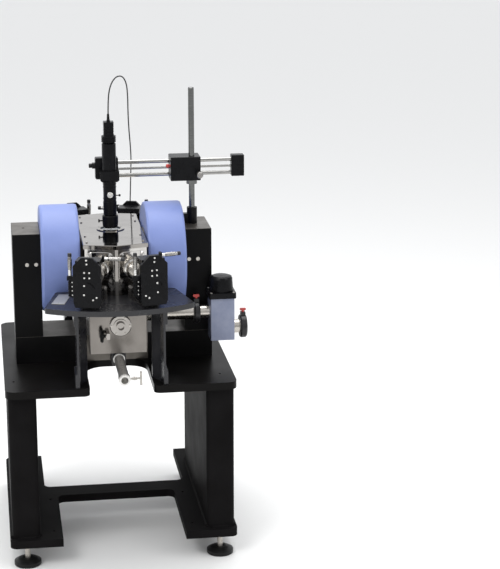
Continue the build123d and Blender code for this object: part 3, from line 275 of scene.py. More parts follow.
KNURLED = Finish("micrometer_steel", "knob_steel", (0.36, 0.35, 0.335),
                 (0.26, 0.25, 0.24), metallic=1.0, rough=(0.2, 0.34), grain=300.0, bump=0.08)
ARM_STEEL = Finish("arm_steel", "arm_steel", (0.38, 0.36, 0.34),
                   (0.28, 0.27, 0.26), metallic=0.9, rough=(0.25, 0.4), grain=150.0, bump=0.05)
CABLE_JACKET = Finish("cable_jacket", "cable_rubber", (0.007, 0.007, 0.0085),
                      (0.011, 0.011, 0.013), rough=(0.42, 0.58), grain=140.0, bump=0.08,
                      specular=0.2)
POST_STEEL = Finish("post_steel", "chrome", (0.19, 0.192, 0.188),
                    (0.15, 0.152, 0.148), metallic=1.0, rough=(0.1, 0.2), grain=60.0,
                    stretch=(1, 1, 5), bump=0.01)

DARK_CLAMP = Finish("clamp_black", "stainless", (0.01, 0.01, 0.011),
                    (0.016, 0.0155, 0.0165), metallic=0.2, rough=(0.28, 0.4), grain=90.0, bump=0.06)
BRIGHT_ALLOY = Finish("bright_alloy", "knob_steel", (0.8, 0.79, 0.76),
                      (0.68, 0.67, 0.65), metallic=0.9, rough=(0.25, 0.38), grain=160.0, bump=0.05)
PLATE_SILVER = Finish("bare_plate", "rail_steel", (0.5, 0.5, 0.49),
                      (0.42, 0.42, 0.41), metallic=0.8, rough=(0.34, 0.46), grain=60.0,
                      stretch=(1, 12, 1), bump=0.06)
LAMP_LENS = Finish("lamp_lens", "window_glass", (0.82, 0.82, 0.78),
                   (0.9, 0.9, 0.86), rough=(0.15, 0.25), grain=400.0, bump=0.03)

PAINTED_YOKE = Banded("yoke_paint_and_plate", YOKE_BLACK, YOKE_STEEL,
                      ((2, 0.9177, 0.9185), (2, 0.6107, 0.6113), (0, -0.0972, 0.0972)))
LINE_AND_CLAMPS = Banded("line_steel_and_clamps", SATIN_STEEL, DARK_CLAMP,
                         ((0, 0.2275, 0.2465), (0, 0.3638, 0.4)))
BAYONET_STEEL = Banded("bayonet_steel_and_cradle", BRIGHT_ALLOY, DARK_CLAMP, ((1, -0.2272, -0.1),))
FEET = Banded("feet_stud_and_pad", FOOT_STEEL, BLACK_PLASTIC, ((2, -0.001, 0.0202),))
VALVE_AND_STUBS = Banded("valve_paint_and_stubs", VALVE_BLUE, SATIN_STEEL,
                         ((0, 0.23, 0.2747), (0, 0.3453, 0.38)))

NODE_FINISHES: dict[str, Finish | Banded] = {
    "stand_frame": BLACK_COAT, "levelling_feet": FEET, "table_top": TABLE_COAT,
    "cap_screws": SCREW_STEEL, "magnet_yoke": PAINTED_YOKE, "magnet_coils": COIL_BLUE,
    "chamber_body": MIRROR_STEEL, "arm_ports": PORT_STEEL, "arm_bellows": SATIN_STEEL,
    "chamber_lid": MIRROR_STEEL, "sample_stage": GOLD_PLATE, "lower_housing": HOUSING_STEEL,
    "service_port": MIRROR_STEEL, "vent_knob": BLACK_PLASTIC, "transfer_bayonet": BAYONET_STEEL,
    "bayonet_screw": SCREW_STEEL, "platforms": PLATFORM_BLACK, "manipulator_rails": RAIL_STEEL,
    "pump_line": LINE_AND_CLAMPS, "line_clamp_knob": RED_PLASTIC, "outlet_clamp_knob": RED_PLASTIC,
    "valve_body": VALVE_AND_STUBS, "valve_bonnet": ANODISED, "post_socket": ANODISED,
    "boom_post": POST_STEEL, "boom_blocks": ANODISED, "boom_rods": CHROME, "boom_knob": KNURLED,
    "rod_lock_knob": RED_PLASTIC, "focus_slab": ANODISED, "focus_knob": BLACK_PLASTIC,
    "tube_clamp": ANODISED, "zoom_tube": ANODISED, "zoom_ring": ANODISED,
    "ring_light": ANODISED, "camera_head": ANODISED, "camera_cable": CABLE_JACKET,
    "cable_coil": CABLE_JACKET, "cable_plug": BLACK_PLASTIC,
}
UNIT_TURNS: dict[str, float] = {
    "front_left": -14.5, "front_right": 14.5, "rear_right": 165.5, "rear_left": 194.5,
}
for _unit in UNIT_TURNS:
    NODE_FINISHES[f"sled_{_unit}"] = ANODISED
    NODE_FINISHES[f"lift_plate_{_unit}"] = ANODISED
    NODE_FINISHES[f"arm_carriage_{_unit}"] = ARM_STEEL
    NODE_FINISHES[f"lift_thimble_{_unit}"] = KNURLED
    NODE_FINISHES[f"cross_thimble_{_unit}"] = KNURLED


def window_glass() -> bpy.types.Material:
    """Clear window glass with a faint cloudiness in its roughness.

    Returns:
        The material.
    """
    made = bpy.data.materials.new("finish_window_glass")
    made.use_nodes = True
    nodes, links = made.node_tree.nodes, made.node_tree.links
    shader = nodes["Principled BSDF"]
    place = nodes.new("ShaderNodeTexCoord")
    noise = nodes.new("ShaderNodeTexNoise")
    noise.inputs["Scale"].default_value = 35.0
    links.new(place.outputs["Object"], noise.inputs["Vector"])
    span = nodes.new("ShaderNodeMapRange")
    span.inputs["To Min"].default_value = 0.02
    span.inputs["To Max"].default_value = 0.08
    links.new(noise.outputs["Fac"], span.inputs["Value"])
    links.new(span.outputs["Result"], shader.inputs["Roughness"])
    shader.inputs["Base Color"].default_value = (0.85, 0.9, 0.92, 1.0)
    shader.inputs["Transmission Weight"].default_value = 0.85
    shader.inputs["IOR"].default_value = 1.47
    return made


def dress_nodes(nodes: dict[str, bpy.types.Object]) -> None:
    """Give every carried-over node its finish; the window, which has none, gets glass.

    Args:
        nodes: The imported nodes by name.
    """
    for name, obj in nodes.items():
        finish = NODE_FINISHES.get(name)
        material = finish.material() if finish else window_glass()
        obj.data.materials.clear()
        obj.data.materials.append(material)
        LOG.info("dressed %s", name)


def add_mesh(name: str, verts: np.ndarray, faces: Sequence[Sequence[int]], finish: Finish,
             body: str, smooth: bool = True) -> bpy.types.Object:
    """Make a mesh piece, dress it and let it ride on a body.

    Args:
        name: The piece's name.
        verts: Its vertices, n by 3, in metres.
        faces: Its faces as vertex indices.
        finish: Its finish.
        body: The body that carries it.
        smooth: Whether its faces are shaded smooth below 35 degrees.

    Returns:
        The new object.
    """
    mesh = bpy.data.meshes.new(name)
    mesh.from_pydata(verts.tolist(), [], [list(map(int, f)) for f in faces])
    mesh.validate()
    obj = bpy.data.objects.new(name, mesh)
    bpy.context.scene.collection.objects.link(obj)
    mesh.materials.append(finish.material())
    if smooth:
        mesh.polygons.foreach_set("use_smooth", np.ones(len(mesh.polygons), dtype=bool))
        mesh.set_sharp_from_angle(angle=SMOOTH_BELOW)
    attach(obj, body)
    LOG.info("made %s", name)
    return obj


@dataclass
class CameraCable:
    """The microscope camera's cable: one smooth line from the camera to its plug."""

    diameter: float = 0.0038
    route: tuple[Vec, ...] = (
        (0.0, 0.0, 1.226), (0.0, 0.0, 1.284), (0.008, 0.018, 1.326), (0.026, 0.044, 1.348),
        (0.048, 0.072, 1.348), (0.063, 0.098, 1.322), (0.068, 0.124, 1.278), (0.07, 0.15, 1.226),
        (0.074, 0.178, 1.172), (0.08, 0.21, 1.12), (0.085, 0.248, 1.076), (0.088, 0.294, 1.034),
        (0.091, 0.344, 0.994), (0.093, 0.386, 0.95), (0.093, 0.408, 0.9), (0.092, 0.414, 0.838),
        (0.086, 0.414, 0.776), (0.079, 0.406, 0.716), (0.071, 0.39, 0.66), (0.064, 0.368, 0.61),
        (0.058, 0.342, 0.567), (0.05, 0.31, 0.543), (0.038, 0.282, 0.5332),
    )
    coil_centre: Vec = (0.0, 0.262, 0.5331)
    coil_outer: float = 0.0249
    coil_inner: float = 0.0172
    plug_end: Vec = (-0.0285, 0.2772, 0.535)
    plug_lead: Vec = (-0.0275, 0.2705, 0.5362)
    loop: tuple[float, float] = (0.02, 0.2)
    turns: float = 4.475
    turns_inward: float = 2.0
    points_per_turn: int = 14
    spline_pull: float = 0.975
    first_angle: float = -9.0
    rise_from: float = 1.8
    rise_over: float = 0.25

    def coil_points(self) -> np.ndarray:
        """Control points of the put-away coil.

        A flat spiral inwards for two turns, one diameter up, and a spiral outwards for about
        two and a half turns: radius linear in the turn count, angle clockwise. The spline runs
        nearer the middle than its points, by spline_pull, so they stand further out.

        Returns:
            Points as rows.
        """
        turns = np.arange(0, self.turns, 1.0 / self.points_per_turn)
        step = (self.coil_outer - self.coil_inner) / self.turns_inward
        inward = self.coil_outer - step * turns
        outward = self.coil_inner + step * (turns - self.turns_inward)
        radius = np.where(turns < self.turns_inward, inward, outward) / self.spline_pull
        angle = math.radians(self.first_angle) - 2.0 * math.pi * turns
        rise = np.clip((turns - self.rise_from) / self.rise_over, 0.0, 1.0) * self.diameter
        cx, cy, cz = self.coil_centre
        return np.stack(
            [cx + radius * np.cos(angle), cy + radius * np.sin(angle), cz + rise], axis=1
        )

    def build(self) -> None:
        points = np.vstack([np.array(self.route), self.coil_points(),
                            np.array([self.plug_lead, self.plug_end])])
        curve = bpy.data.curves.new("camera_cable_line", "CURVE")
        curve.dimensions = "3D"
        spline = curve.splines.new("NURBS")
        spline.points.add(len(points) - 1)
        spline.points.foreach_set("co", np.c_[points, np.ones(len(points))].ravel())
        spline.order_u = 3
        spline.use_endpoint_u = True
        curve.bevel_depth = self.diameter / 2
        curve.bevel_resolution = 3
        curve.resolution_u = 6
        curve.use_fill_caps = True
        shape = bpy.data.objects.new("cable_shape", curve)
        line = bpy.data.meshes.new_from_object(self._bare_copy(shape))
        flat = np.empty(len(line.vertices) * 3)
        line.vertices.foreach_get("co", flat)
        tube = bpy.data.meshes.new_from_object(shape)
        tube.name = "camera_cable_line"
        joined = bmesh.new()
        joined.from_mesh(tube)
        bmesh.ops.remove_doubles(joined, verts=joined.verts, dist=1e-6)
        bmesh.ops.recalc_face_normals(joined, faces=joined.faces)
        joined.to_mesh(tube)
        joined.free()
        tube.shade_smooth()
        obj = bpy.data.objects.new("camera_cable_line", tube)
        bpy.context.scene.collection.objects.link(obj)
        tube.materials.clear()
        tube.materials.append(CABLE_JACKET.material())
        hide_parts("camera_cable", "cable_coil")
        obj.parent = None
        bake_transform(obj)

    def _bare_copy(self, obj: bpy.types.Object) -> bpy.types.Object:
        """A copy of the cable with no thickness, to measure its line.

        Args:
            obj: The cable's curve object.

        Returns:
            The copy, which isn't in the scene.
        """
        curve = obj.data.copy()
        curve.bevel_depth = 0.0
        return bpy.data.objects.new("cable_measure", curve)


def revolve(profile: np.ndarray, segments: int = 32, swell: np.ndarray | None = None) -> tuple:
    """A closed surface of revolution about +Z.

    Each row of the profile is a radius and a height; a point is (r cos a, r sin a, h). The
    first and last rows lie on the axis and become single poles. swell is added to the radius
    of the rows between, one value per row and angle.

    Args:
        profile: Rows of radius and height, from the lower pole to the upper.
        segments: Steps round the axis.
        swell: Optional change of radius, rows by segments.

    Returns:
        Vertices and faces.
    """
    inner = profile[1:-1]
    angle = np.linspace(0.0, 2.0 * math.pi, segments, endpoint=False)
    radius = inner[:, :1] + (0.0 if swell is None else swell)
    ring = np.stack([radius * np.cos(angle), radius * np.sin(angle),
                     np.broadcast_to(inner[:, 1:], (len(inner), segments))], axis=2)
    verts = np.vstack([[0.0, 0.0, profile[0, 1]], ring.reshape(-1, 3), [0.0, 0.0, profile[-1, 1]]])
    here = np.arange(segments)
    there = (here + 1) % segments
    rows = 1 + np.arange(len(inner) - 1)[:, None] * segments
    quads = np.stack([rows + here, rows + there, rows + segments + there,
                      rows + segments + here], axis=2).reshape(-1, 4)
    low = np.stack([np.zeros(segments, int), 1 + there, 1 + here], axis=1)
    last = 1 + (len(inner) - 1) * segments
    high = np.stack([np.full(segments, len(verts) - 1), last + here, last + there], axis=1)
    return verts, quads.tolist() + low.tolist() + high.tolist()


def ring_faces(rows: int, segments: int) -> list[list[int]]:
    """Quads between neighbouring rings of vertices, the last ring joined to the first.

    Args:
        rows: How many rings there are.
        segments: Vertices in each ring.

    Returns:
        The quads as vertex indices.
    """
    here = np.arange(segments)
    there = (here + 1) % segments
    row = np.arange(rows)[:, None] * segments
    above = np.roll(row, -1, axis=0)
    quads = np.stack([row + here, row + there, above + there, above + here], axis=2)
    return quads.reshape(-1, 4).tolist()


def tube_shell(profile: np.ndarray, segments: int = 48) -> tuple:
    """A ring: a closed profile of radius and height turned about +Z, with no poles.

    Args:
        profile: Rows of radius and height, up the outside and down the inside.
        segments: Steps round the axis.

    Returns:
        Vertices and faces.
    """
    angle = np.linspace(0.0, 2.0 * math.pi, segments, endpoint=False)
    radius, height = profile[:, :1], profile[:, 1:]
    verts = np.stack([radius * np.cos(angle), radius * np.sin(angle),
                      np.broadcast_to(height, (len(profile), segments))], axis=2).reshape(-1, 3)
    return verts, ring_faces(len(profile), segments)


def slab(outline: np.ndarray, height: float, bevel: float = 0.0006) -> tuple:
    """A plate with bevelled rims: the outline at four heights, drawn in at the two ends.

    Args:
        outline: Corners in X and Y, counter-clockwise.
        height: Thickness along +Z.
        bevel: How far the two end faces are drawn in.

    Returns:
        Vertices and faces.
    """
    middle = outline.mean(axis=0)
    span = np.abs(outline - middle).max(axis=0)
    small = middle + (outline - middle) * (1.0 - bevel / span)
    count = len(outline)
    rings = [np.c_[small, np.zeros(count)], np.c_[outline, np.full(count, bevel)],
             np.c_[outline, np.full(count, height - bevel)], np.c_[small, np.full(count, height)]]
    here = np.arange(count)
    there = (here + 1) % count
    row = np.arange(3)[:, None] * count
    quads = np.stack([row + here, row + there, row + count + there, row + count + here], axis=2)
    caps = [here[::-1].tolist(), (3 * count + here).tolist()]
    return np.vstack(rings), quads.reshape(-1, 4).tolist() + caps


def rectangle(x0: float, x1: float, y0: float, y1: float) -> np.ndarray:
    """Four corners, counter-clockwise."""
    return np.array([(x0, y0), (x1, y0), (x1, y1), (x0, y1)])


def screw(radius: float, height: float) -> tuple:
    """A socket-head screw: a bevelled head with a hexagonal recess.

    The recess radius at angle a is the apothem over cos((a mod 60) - 30 degrees).

    Args:
        radius: The head's radius.
        height: The head's height above the face it sits on.

    Returns:
        Vertices and faces.
    """
    lip = radius * 0.16
    rows = np.array([(0.0, -0.001), (radius, -0.001), (radius, height - lip),
                     (radius - lip, height), (0.0, height), (0.0, height * 0.45),
                     (0.0, height * 0.45)])
    angle = np.linspace(0.0, 2.0 * math.pi, 18, endpoint=False)
    hexagon = 0.5 * radius / np.cos(np.mod(angle, math.pi / 3) - math.pi / 6)
    swell = np.zeros((5, 18))
    swell[3:] = hexagon
    return revolve(rows, 18, swell)


def turned(verts: np.ndarray, origin: Sequence[float], axis: Sequence[float]) -> np.ndarray:
    """Turn a shape's +Z to an axis and move it to an origin.

    The two other directions are cross products of the axis with a direction it isn't near.

    Args:
        verts: The shape's vertices.
        origin: Where its own origin goes.
        axis: Where its +Z goes, of any length.

    Returns:
        The moved vertices.
    """
    up = np.array(axis, dtype=float)
    up /= np.linalg.norm(up)
    other = np.array([1.0, 0.0, 0.0]) if abs(up[0]) < 0.8 else np.array([0.0, 1.0, 0.0])
    second = np.cross(up, other)
    second /= np.linalg.norm(second)
    first = np.cross(second, up)
    return verts @ np.stack([first, second, up]) + np.array(origin)


def many(shape: tuple, places: Sequence[Sequence[float]], axis: Sequence[float]) -> tuple:
    """Copies of one shape at several places, as one mesh.

    Args:
        shape: Vertices and faces.
        places: Where each copy's origin goes.
        axis: Where each copy's +Z goes.

    Returns:
        Vertices and faces.
    """
    verts, faces = shape
    stack = [turned(verts, place, axis) for place in places]
    moved = [[i + k * len(verts) for i in f] for k in range(len(places)) for f in faces]
    return np.vstack(stack), moved


@dataclass
class Manipulator:
    """One of the four arm units: bellows, micrometers, plate screws and ribbed stage block."""

    name: str
    turn: float
    deck: float = 0.762
    plate_face: float = 0.3723
    arm_height: float = 0.835
    thimble_radius: float = 0.006
    thimble_length: float = 0.046
    thimble_steps: int = 60
    lift_seat: Vec = (-0.05, 0.355, 0.8743)
    cross_seat: Vec = (0.0503, 0.32, 0.898)
    lift_sleeve: tuple[Vec, float] = ((-0.05, 0.355, 0.857), 0.0169)
    cross_sleeve: tuple[Vec, float] = ((0.0402, 0.32, 0.898), 0.0097)
    bellows_start: float = 0.21925
    bellows_end: float = 0.2837
    bellows_outer: float = 0.024
    bellows_bore: float = 0.019
    joins: tuple[float, float] = (0.261, 0.272)
    plate_screws: tuple[tuple[float, float], ...] = (
        (-1, 143), (0, 132), (-7, 108), (7, 108), (-7, 93), (7, 93), (-8, 71), (-9, 45), (16, 31),
        (26, 38),
    )

    def at(self, u: float, d: float, z: float) -> np.ndarray:
        """A point of the unit in the station's frame: u across, d outward from the centre."""
        a = math.radians(self.turn)
        return np.array([u * math.cos(a) + d * math.sin(a), u * math.sin(a) - d * math.cos(a), z])

    def way(self, u: float, d: float) -> np.ndarray:
        """A direction of the unit in the station's frame."""
        return self.at(u, d, 0.0)

    def build(self) -> None:
        """Make every piece of the unit."""
        self.bellows()
        self.micrometers()
        self.sleeves()
        self.screws()
        self.stage_block()

    def bellows(self) -> None:
        """The bellows, in three lengths split at the joins along the arm.

        Radius is the mean plus a cosine of the length along the arm, with a smooth bore.
        """
        low, high = self.joins
        parts = ((self.bellows_start, low, "station", f"sled_{self.name}"),
                 (low, high, f"sled_{self.name}", f"lift_plate_{self.name}"),
                 (high, self.bellows_end, f"lift_plate_{self.name}", f"arm_carriage_{self.name}"))
        pitch = (self.bellows_end - self.bellows_start) / 12
        crest = (self.bellows_outer - self.bellows_bore - 0.0006) / 2
        for number, (start, end, near, far) in enumerate(parts):
            along = np.linspace(start, end, max(9, int(round((end - start) / pitch * 10))))
            wave = np.cos(2 * math.pi * (along - self.bellows_start) / pitch)
            outside = np.c_[self.bellows_outer - crest * (1 + wave), along - start]
            inside = np.c_[np.full(5, self.bellows_bore), np.linspace(end - start, 0.0, 5)]
            verts, faces = tube_shell(np.vstack([outside, inside]))
            verts = turned(verts, self.at(0, start, self.arm_height), self.way(0, 1))
            obj = add_mesh(f"bellows_{self.name}_{number}", verts, faces, SATIN_STEEL, near)
            obj.parent = None
            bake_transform(obj)
            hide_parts("arm_bellows")

    def thimble(self) -> tuple:
        """A micrometer thimble without its cap: bevelled skirt with graduations, knurled grip.

        The knurl adds a product of two cosines, one of the angle and one of the row, and the
        graduations are a shallow comb of the angle near the skirt.

        Returns:
            Its profile as rows of radius and height, and the change of radius on them.
        """
        r, length = self.thimble_radius, self.thimble_length
        rows = [(0, 0), (r - 0.0014, 0), (r - 0.0003, 0.004), (r - 0.0003, 0.0065),
                (r - 0.0003, 0.013)]
        rows += [(r - 0.0003, z) for z in np.linspace(0.014, length - 0.016, 12)]
        rows += [(r - 0.001, length - 0.014), (r - 0.001, length - 0.0095),
                 (0, length - 0.0095)]
        profile = np.array(rows)
        angle = np.linspace(0, 2 * math.pi, self.thimble_steps, endpoint=False)
        swell = np.zeros((len(rows) - 2, self.thimble_steps))
        row = np.arange(12)[:, None]
        swell[4:16] = 0.00022 * np.cos(30 * angle) * np.cos(math.pi * row)
        swell[1:3] = -0.00016 * (np.cos(20 * angle) > 0.6)
        return profile, swell

    def cap(self) -> np.ndarray:
        """The dark ratchet cap at a thimble's end.

        Returns:
            Its profile as rows of radius and height.
        """
        r, length = self.thimble_radius, self.thimble_length
        return np.array([(0, length - 0.0094), (r - 0.0006, length - 0.0094),
                         (r - 0.0004, length - 0.009), (r - 0.0004, length - 0.001),
                         (r - 0.0012, length), (0, length)])

    def micrometers(self) -> None:
        """The two thimbles: one stands up beside the column, one points across the unit."""
        profile, swell = self.thimble()
        grip = revolve(profile, self.thimble_steps, swell)
        cap = revolve(self.cap(), 40)
        for label, place, axis in (
            ("lift", self.at(*self.lift_seat), (0, 0, 1)),
            ("cross", self.at(*self.cross_seat), self.way(1, 0)),
        ):
            body = f"{label}_thimble_{self.name}"
            obj = add_mesh(f"{label}_grip_{self.name}", turned(grip[0], place, axis), grip[1],
                           KNURLED, body)
            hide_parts(body)
            add_mesh(f"{label}_cap_{self.name}", turned(cap[0], place, axis), cap[1],
                     DARK_CLAMP, body)

    def sleeves(self) -> None:
        """The bright sleeves that the two thimbles turn on: plain rings with a bevel each end."""
        for label, (place, end), axis, body in (
            ("lift", self.lift_sleeve, (0, 0, 1), f"sled_{self.name}"),
            ("cross", self.cross_sleeve, self.way(1, 0), f"lift_plate_{self.name}"),
        ):
            rows = np.array([(0.0043, 0.0), (0.0048, 0.0005), (0.0048, end - 0.0005),
                             (0.0043, end)])
            verts, faces = tube_shell(rows, 32)
            add_mesh(f"{label}_sleeve_{self.name}", turned(verts, self.at(*place), axis), faces,
                     BRIGHT_ALLOY, body)

    def screws(self) -> None:
        """The bright screws in the lifting face plate."""
        flip = -1 if self.name in ("front_right", "rear_left") else 1
        places = [self.at(flip * u / 1000, self.plate_face, self.deck + z / 1000)
                  for u, z in self.plate_screws]
        verts, faces = many(screw(0.0026, 0.0009), places, self.way(0, 1))
        add_mesh(f"plate_screws_{self.name}", verts, faces, BRIGHT_ALLOY,
                 f"lift_plate_{self.name}")

    def stage_block(self) -> None:
        """The black ribbed block below the standing micrometer, with its small bright screws.

        It is round in plan, and its side is a comb along its height.
        """
        count, low, high = 8, self.deck + 0.036, self.deck + 0.080
        rows = [(0.0, low), (0.0062, low)]
        step = (high - low) / count
        for k in range(count):
            z = low + k * step
            rows += [(0.0068, z + 0.0006), (0.0068, z + step * 0.55), (0.0052, z + step * 0.65),
                     (0.0052, z + step * 0.95)]
        rows += [(0.0052, high), (0.0, high)]
        profile = np.array(rows)
        verts, faces = revolve(profile, 24)
        verts = turned(verts, self.at(-0.05, 0.354, 0.0), (0, 0, 1))
        body = f"sled_{self.name}"
        add_mesh(f"stage_ribs_{self.name}", verts, faces, ANODISED, body)
        web = slab(rectangle(-0.0465, -0.029, 0.349, 0.3605), 0.05)
        moved = np.stack([self.at(u, d, self.deck + 0.033 + z) for u, d, z in web[0]])
        add_mesh(f"stage_web_{self.name}", moved, [f[::-1] for f in web[1]], ANODISED, body, False)
        places = [self.at(-0.0435, 0.3605, self.deck + z) for z in (0.041, 0.053, 0.065, 0.077)]
        verts, faces = many(screw(0.0018, 0.0007), places, self.way(0, 1))
        add_mesh(f"stage_screws_{self.name}", verts, faces, BRIGHT_ALLOY, body)


@dataclass
class Chamber:
    """Raised port frames on the chamber's four slanting faces."""

    face: float = 0.20525
    proud: float = 0.002
    centre_height: float = 0.835
    bore: float = 0.0302
    half_width: float = 0.0385
    half_height: float = 0.052
    power: int = 7
    nose_shift: float = 0.0065
    steps: int = 72

    def build(self) -> None:
        """Make the four port frames."""
        for name, turn in UNIT_TURNS.items():
            self.frame(name, turn)

    def frame(self, name: str, turn: float) -> None:
        """A flat frame between the port's neck and a rounded rectangle.

        Its outer radius at angle a is that of a superellipse, centred a little towards the
        nose; its inner edge is a circle.

        Args:
            name: The unit's name.
            turn: The unit's turn in degrees.
        """
        toward = 1.0 if name in ("front_left", "rear_right") else -1.0
        angle = np.linspace(0, 2 * math.pi, self.steps, endpoint=False)
        c, s = np.cos(angle), np.sin(angle)
        outer = (np.abs(c / self.half_width) ** self.power
                 + np.abs(s / self.half_height) ** self.power) ** (-1 / self.power)
        rows = [(self.bore, 0.0), (self.bore, self.proud)]
        ring = [np.stack([r * c, r * s, np.full(self.steps, h)], axis=1) for r, h in rows]
        shift = toward * self.nose_shift
        for scale, height in ((0.985, self.proud), (1.0, self.proud - 0.0006), (1.0, 0.0)):
            ring.append(np.stack([shift + outer * scale * c, outer * scale * s,
                                  np.full(self.steps, height)], axis=1))
        verts = np.array(ring[::-1]).reshape(-1, 3)
        unit = Manipulator(name, turn)
        placed = np.stack([unit.at(u, self.face + h, self.centre_height + z) for u, z, h in verts])
        add_mesh(f"port_frame_{name}", placed, ring_faces(len(ring), self.steps), PORT_STEEL,
                 "station")


@dataclass
class Microscope:
    """Small parts of the microscope: lamps of the ring light, dial, iris knob and bands."""

    ring_height: float = 0.9135
    ring_middle: float = 0.0187
    tube_radius: float = 0.0188
    window_height: float = 1.012
    lamps: int = 24
    band_heights: tuple[float, ...] = (0.954, 0.9605, 0.998, 1.032, 1.041)

    def build(self) -> None:
        """Make the lamps, the dial, the iris knob and the bands."""
        angle = np.linspace(0, 2 * math.pi, self.lamps, endpoint=False)
        places = np.stack([self.ring_middle * np.cos(angle), self.ring_middle * np.sin(angle),
                           np.full(self.lamps, self.ring_height + 0.0012)], axis=1)
        dome = revolve(np.array([(0, -0.001), (0.0012, -0.001), (0.0012, 0.0006),
                                 (0.0009, 0.0012), (0.0, 0.0014)]), 10)
        verts, faces = many(dome, places, (0, 0, -1))
        add_mesh("ring_lamps", verts, faces, LAMP_LENS, "microscope")
        dial = np.array([(0, 0), (0.0088, 0), (0.0088, 0.0014), (0.0078, 0.0022),
                         (0.0058, 0.0022), (0.0054, 0.0016), (0.003, 0.0016), (0.0026, 0.0024),
                         (0, 0.0024)])
        verts, faces = revolve(dial, 40)
        add_mesh("scale_dial", turned(verts, (0, -0.0168, self.window_height), (0, -1, 0)), faces,
                 BRIGHT_ALLOY, "microscope")
        lever = np.array([(0, 0), (0.0014, 0), (0.0014, 0.007), (0.0032, 0.0078),
                          (0.0036, 0.011), (0.0024, 0.013), (0, 0.0132)])
        verts, faces = revolve(lever, 20)
        add_mesh("iris_knob", turned(verts, (0.0186, 0, 1.0075), (1, 0, 0)), faces, BLACK_PLASTIC,
                 "microscope")
        r = self.tube_radius
        for number, height in enumerate(self.band_heights):
            band = np.array([(r - 0.0004, height), (r + 0.0009, height + 0.0005),
                             (r + 0.0009, height + 0.0028), (r - 0.0004, height + 0.0033)])
            verts, faces = tube_shell(band)
            add_mesh(f"tube_band_{number}", verts, faces, ANODISED, "microscope")


@dataclass
class Valve:
    """Flange screws of the angle valve."""

    centre: Vec = (0.31, -0.122, 0.741)
    screw_offset: float = 0.0325

    def build(self) -> None:
        """Make the four flange screws."""
        x, y, z = self.centre
        o = self.screw_offset
        places = [(x + sx * o, y + sy * o, z) for sx in (-1, 1) for sy in (-1, 1)]
        verts, faces = many(screw(0.0038, 0.0022), places, (0, 0, 1))
        add_mesh("flange_screws", verts, faces, SCREW_STEEL, "station")


@dataclass
class Boom:
    """The boom's knurled clamp handle."""

    origin: Vec = (0.26, -0.0183, 1.069)

    def build(self) -> None:
        """Make the knurled handle: a cosine of the angle on the grip's rows."""
        rows = [(0, 0), (0.0068, 0), (0.007, 0.0006), (0.007, 0.014), (0.0097, 0.016)]
        rows += [(0.0097, z) for z in np.linspace(0.0165, 0.0295, 8)]
        rows += [(0.008, 0.032), (0, 0.032)]
        swell = np.zeros((len(rows) - 2, 72))
        swell[4:12] = 0.0003 * np.cos(36 * np.linspace(0, 2 * math.pi, 72, endpoint=False))
        verts, faces = revolve(np.array(rows), 72, swell)
        obj = add_mesh("boom_handle", turned(verts, self.origin, (0, -1, 0)), faces, KNURLED,
                       "boom_knob")
        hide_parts("boom_knob")


@dataclass
class Platform:
    """The bare plate on the front platform's left wing, in line with the unit beside it."""

    deck: float = 0.762
    left: float = -0.114
    right: float = -0.077
    inner: float = 0.212
    outer: float = 0.312

    def build(self) -> None:
        """Make the bare plate and its two rivets."""
        unit = Manipulator("front_left", UNIT_TURNS["front_left"])
        verts, faces = slab(rectangle(self.left, self.right, self.inner, self.outer), 0.0014)
        placed = np.stack([unit.at(u, d, self.deck + z) for u, d, z in verts])
        add_mesh("bare_plate", placed, [f[::-1] for f in faces], PLATE_SILVER, "station", False)
        middle = (self.left + self.right) / 2
        places = [unit.at(middle, d, self.deck + 0.0014)
                  for d in (self.inner + 0.006, self.outer - 0.006)]
        verts, faces = many(screw(0.0018, 0.0006), places, (0, 0, 1))
        add_mesh("plate_rivets", verts, faces, SCREW_STEEL, "station")


@dataclass
class Stand:
    """Bolt ends below the table and the welds round the feet of the legs."""

    under: float = 0.509
    base_top: float = 0.085
    leg_x: float = 0.28
    leg_y: float = -0.0335
    leg_half: tuple[float, float] = (0.04, 0.2885)
    corner: float = 0.016
    bead: float = 0.0042
    ripple: float = 0.00025
    steps: int = 480

    def build(self) -> None:
        """Make the bolt ends and the leg welds."""
        places = [(sx * 0.11, y, self.under) for sx in (-1, 1) for y in (-0.325, -0.27)]
        verts, faces = many(screw(0.0045, 0.005), places, (0, 0, -1))
        add_mesh("post_bolts", verts, faces, SCREW_STEEL, "station")
        for side, sx in (("left", -1), ("right", 1)):
            self.weld(f"leg_weld_{side}", sx * self.leg_x)

    def weld(self, name: str, x: float) -> None:
        """A fillet weld round a leg's foot.

        The path is a rounded rectangle, sampled by the direction of its normal: a corner's
        centre plus the corner radius times the normal. The bead is a quarter round whose
        radius ripples along the path.

        Args:
            name: The piece's name.
            x: The leg's centre.
        """
        turn = np.linspace(0, 2 * math.pi, self.steps, endpoint=False)
        half = np.array(self.leg_half) - self.corner
        corner = np.stack([np.sign(np.cos(turn)) * half[0],
                           np.sign(np.sin(turn)) * half[1]], axis=1)
        normal = np.stack([np.cos(turn), np.sin(turn)], axis=1)
        path = corner + self.corner * normal
        bead = self.bead + self.ripple * np.cos(turn * 120)
        rows = []
        for lean in np.linspace(0, math.pi / 2, 5):
            out = bead * math.cos(lean)
            rows.append(np.c_[path + normal * out[:, None],
                              self.base_top + bead * math.sin(lean)])
        rows.append(np.c_[path - normal * 0.001, np.full(self.steps, self.base_top + 0.003)])
        rows.append(np.c_[path - normal * 0.001, np.full(self.steps, self.base_top - 0.0005)])
        stack = np.array(rows)
        stack[:, :, 0] += x
        stack[:, :, 1] += self.leg_y
        add_mesh(name, stack.reshape(-1, 3), ring_faces(len(rows), self.steps), BLACK_COAT,
                 "station")


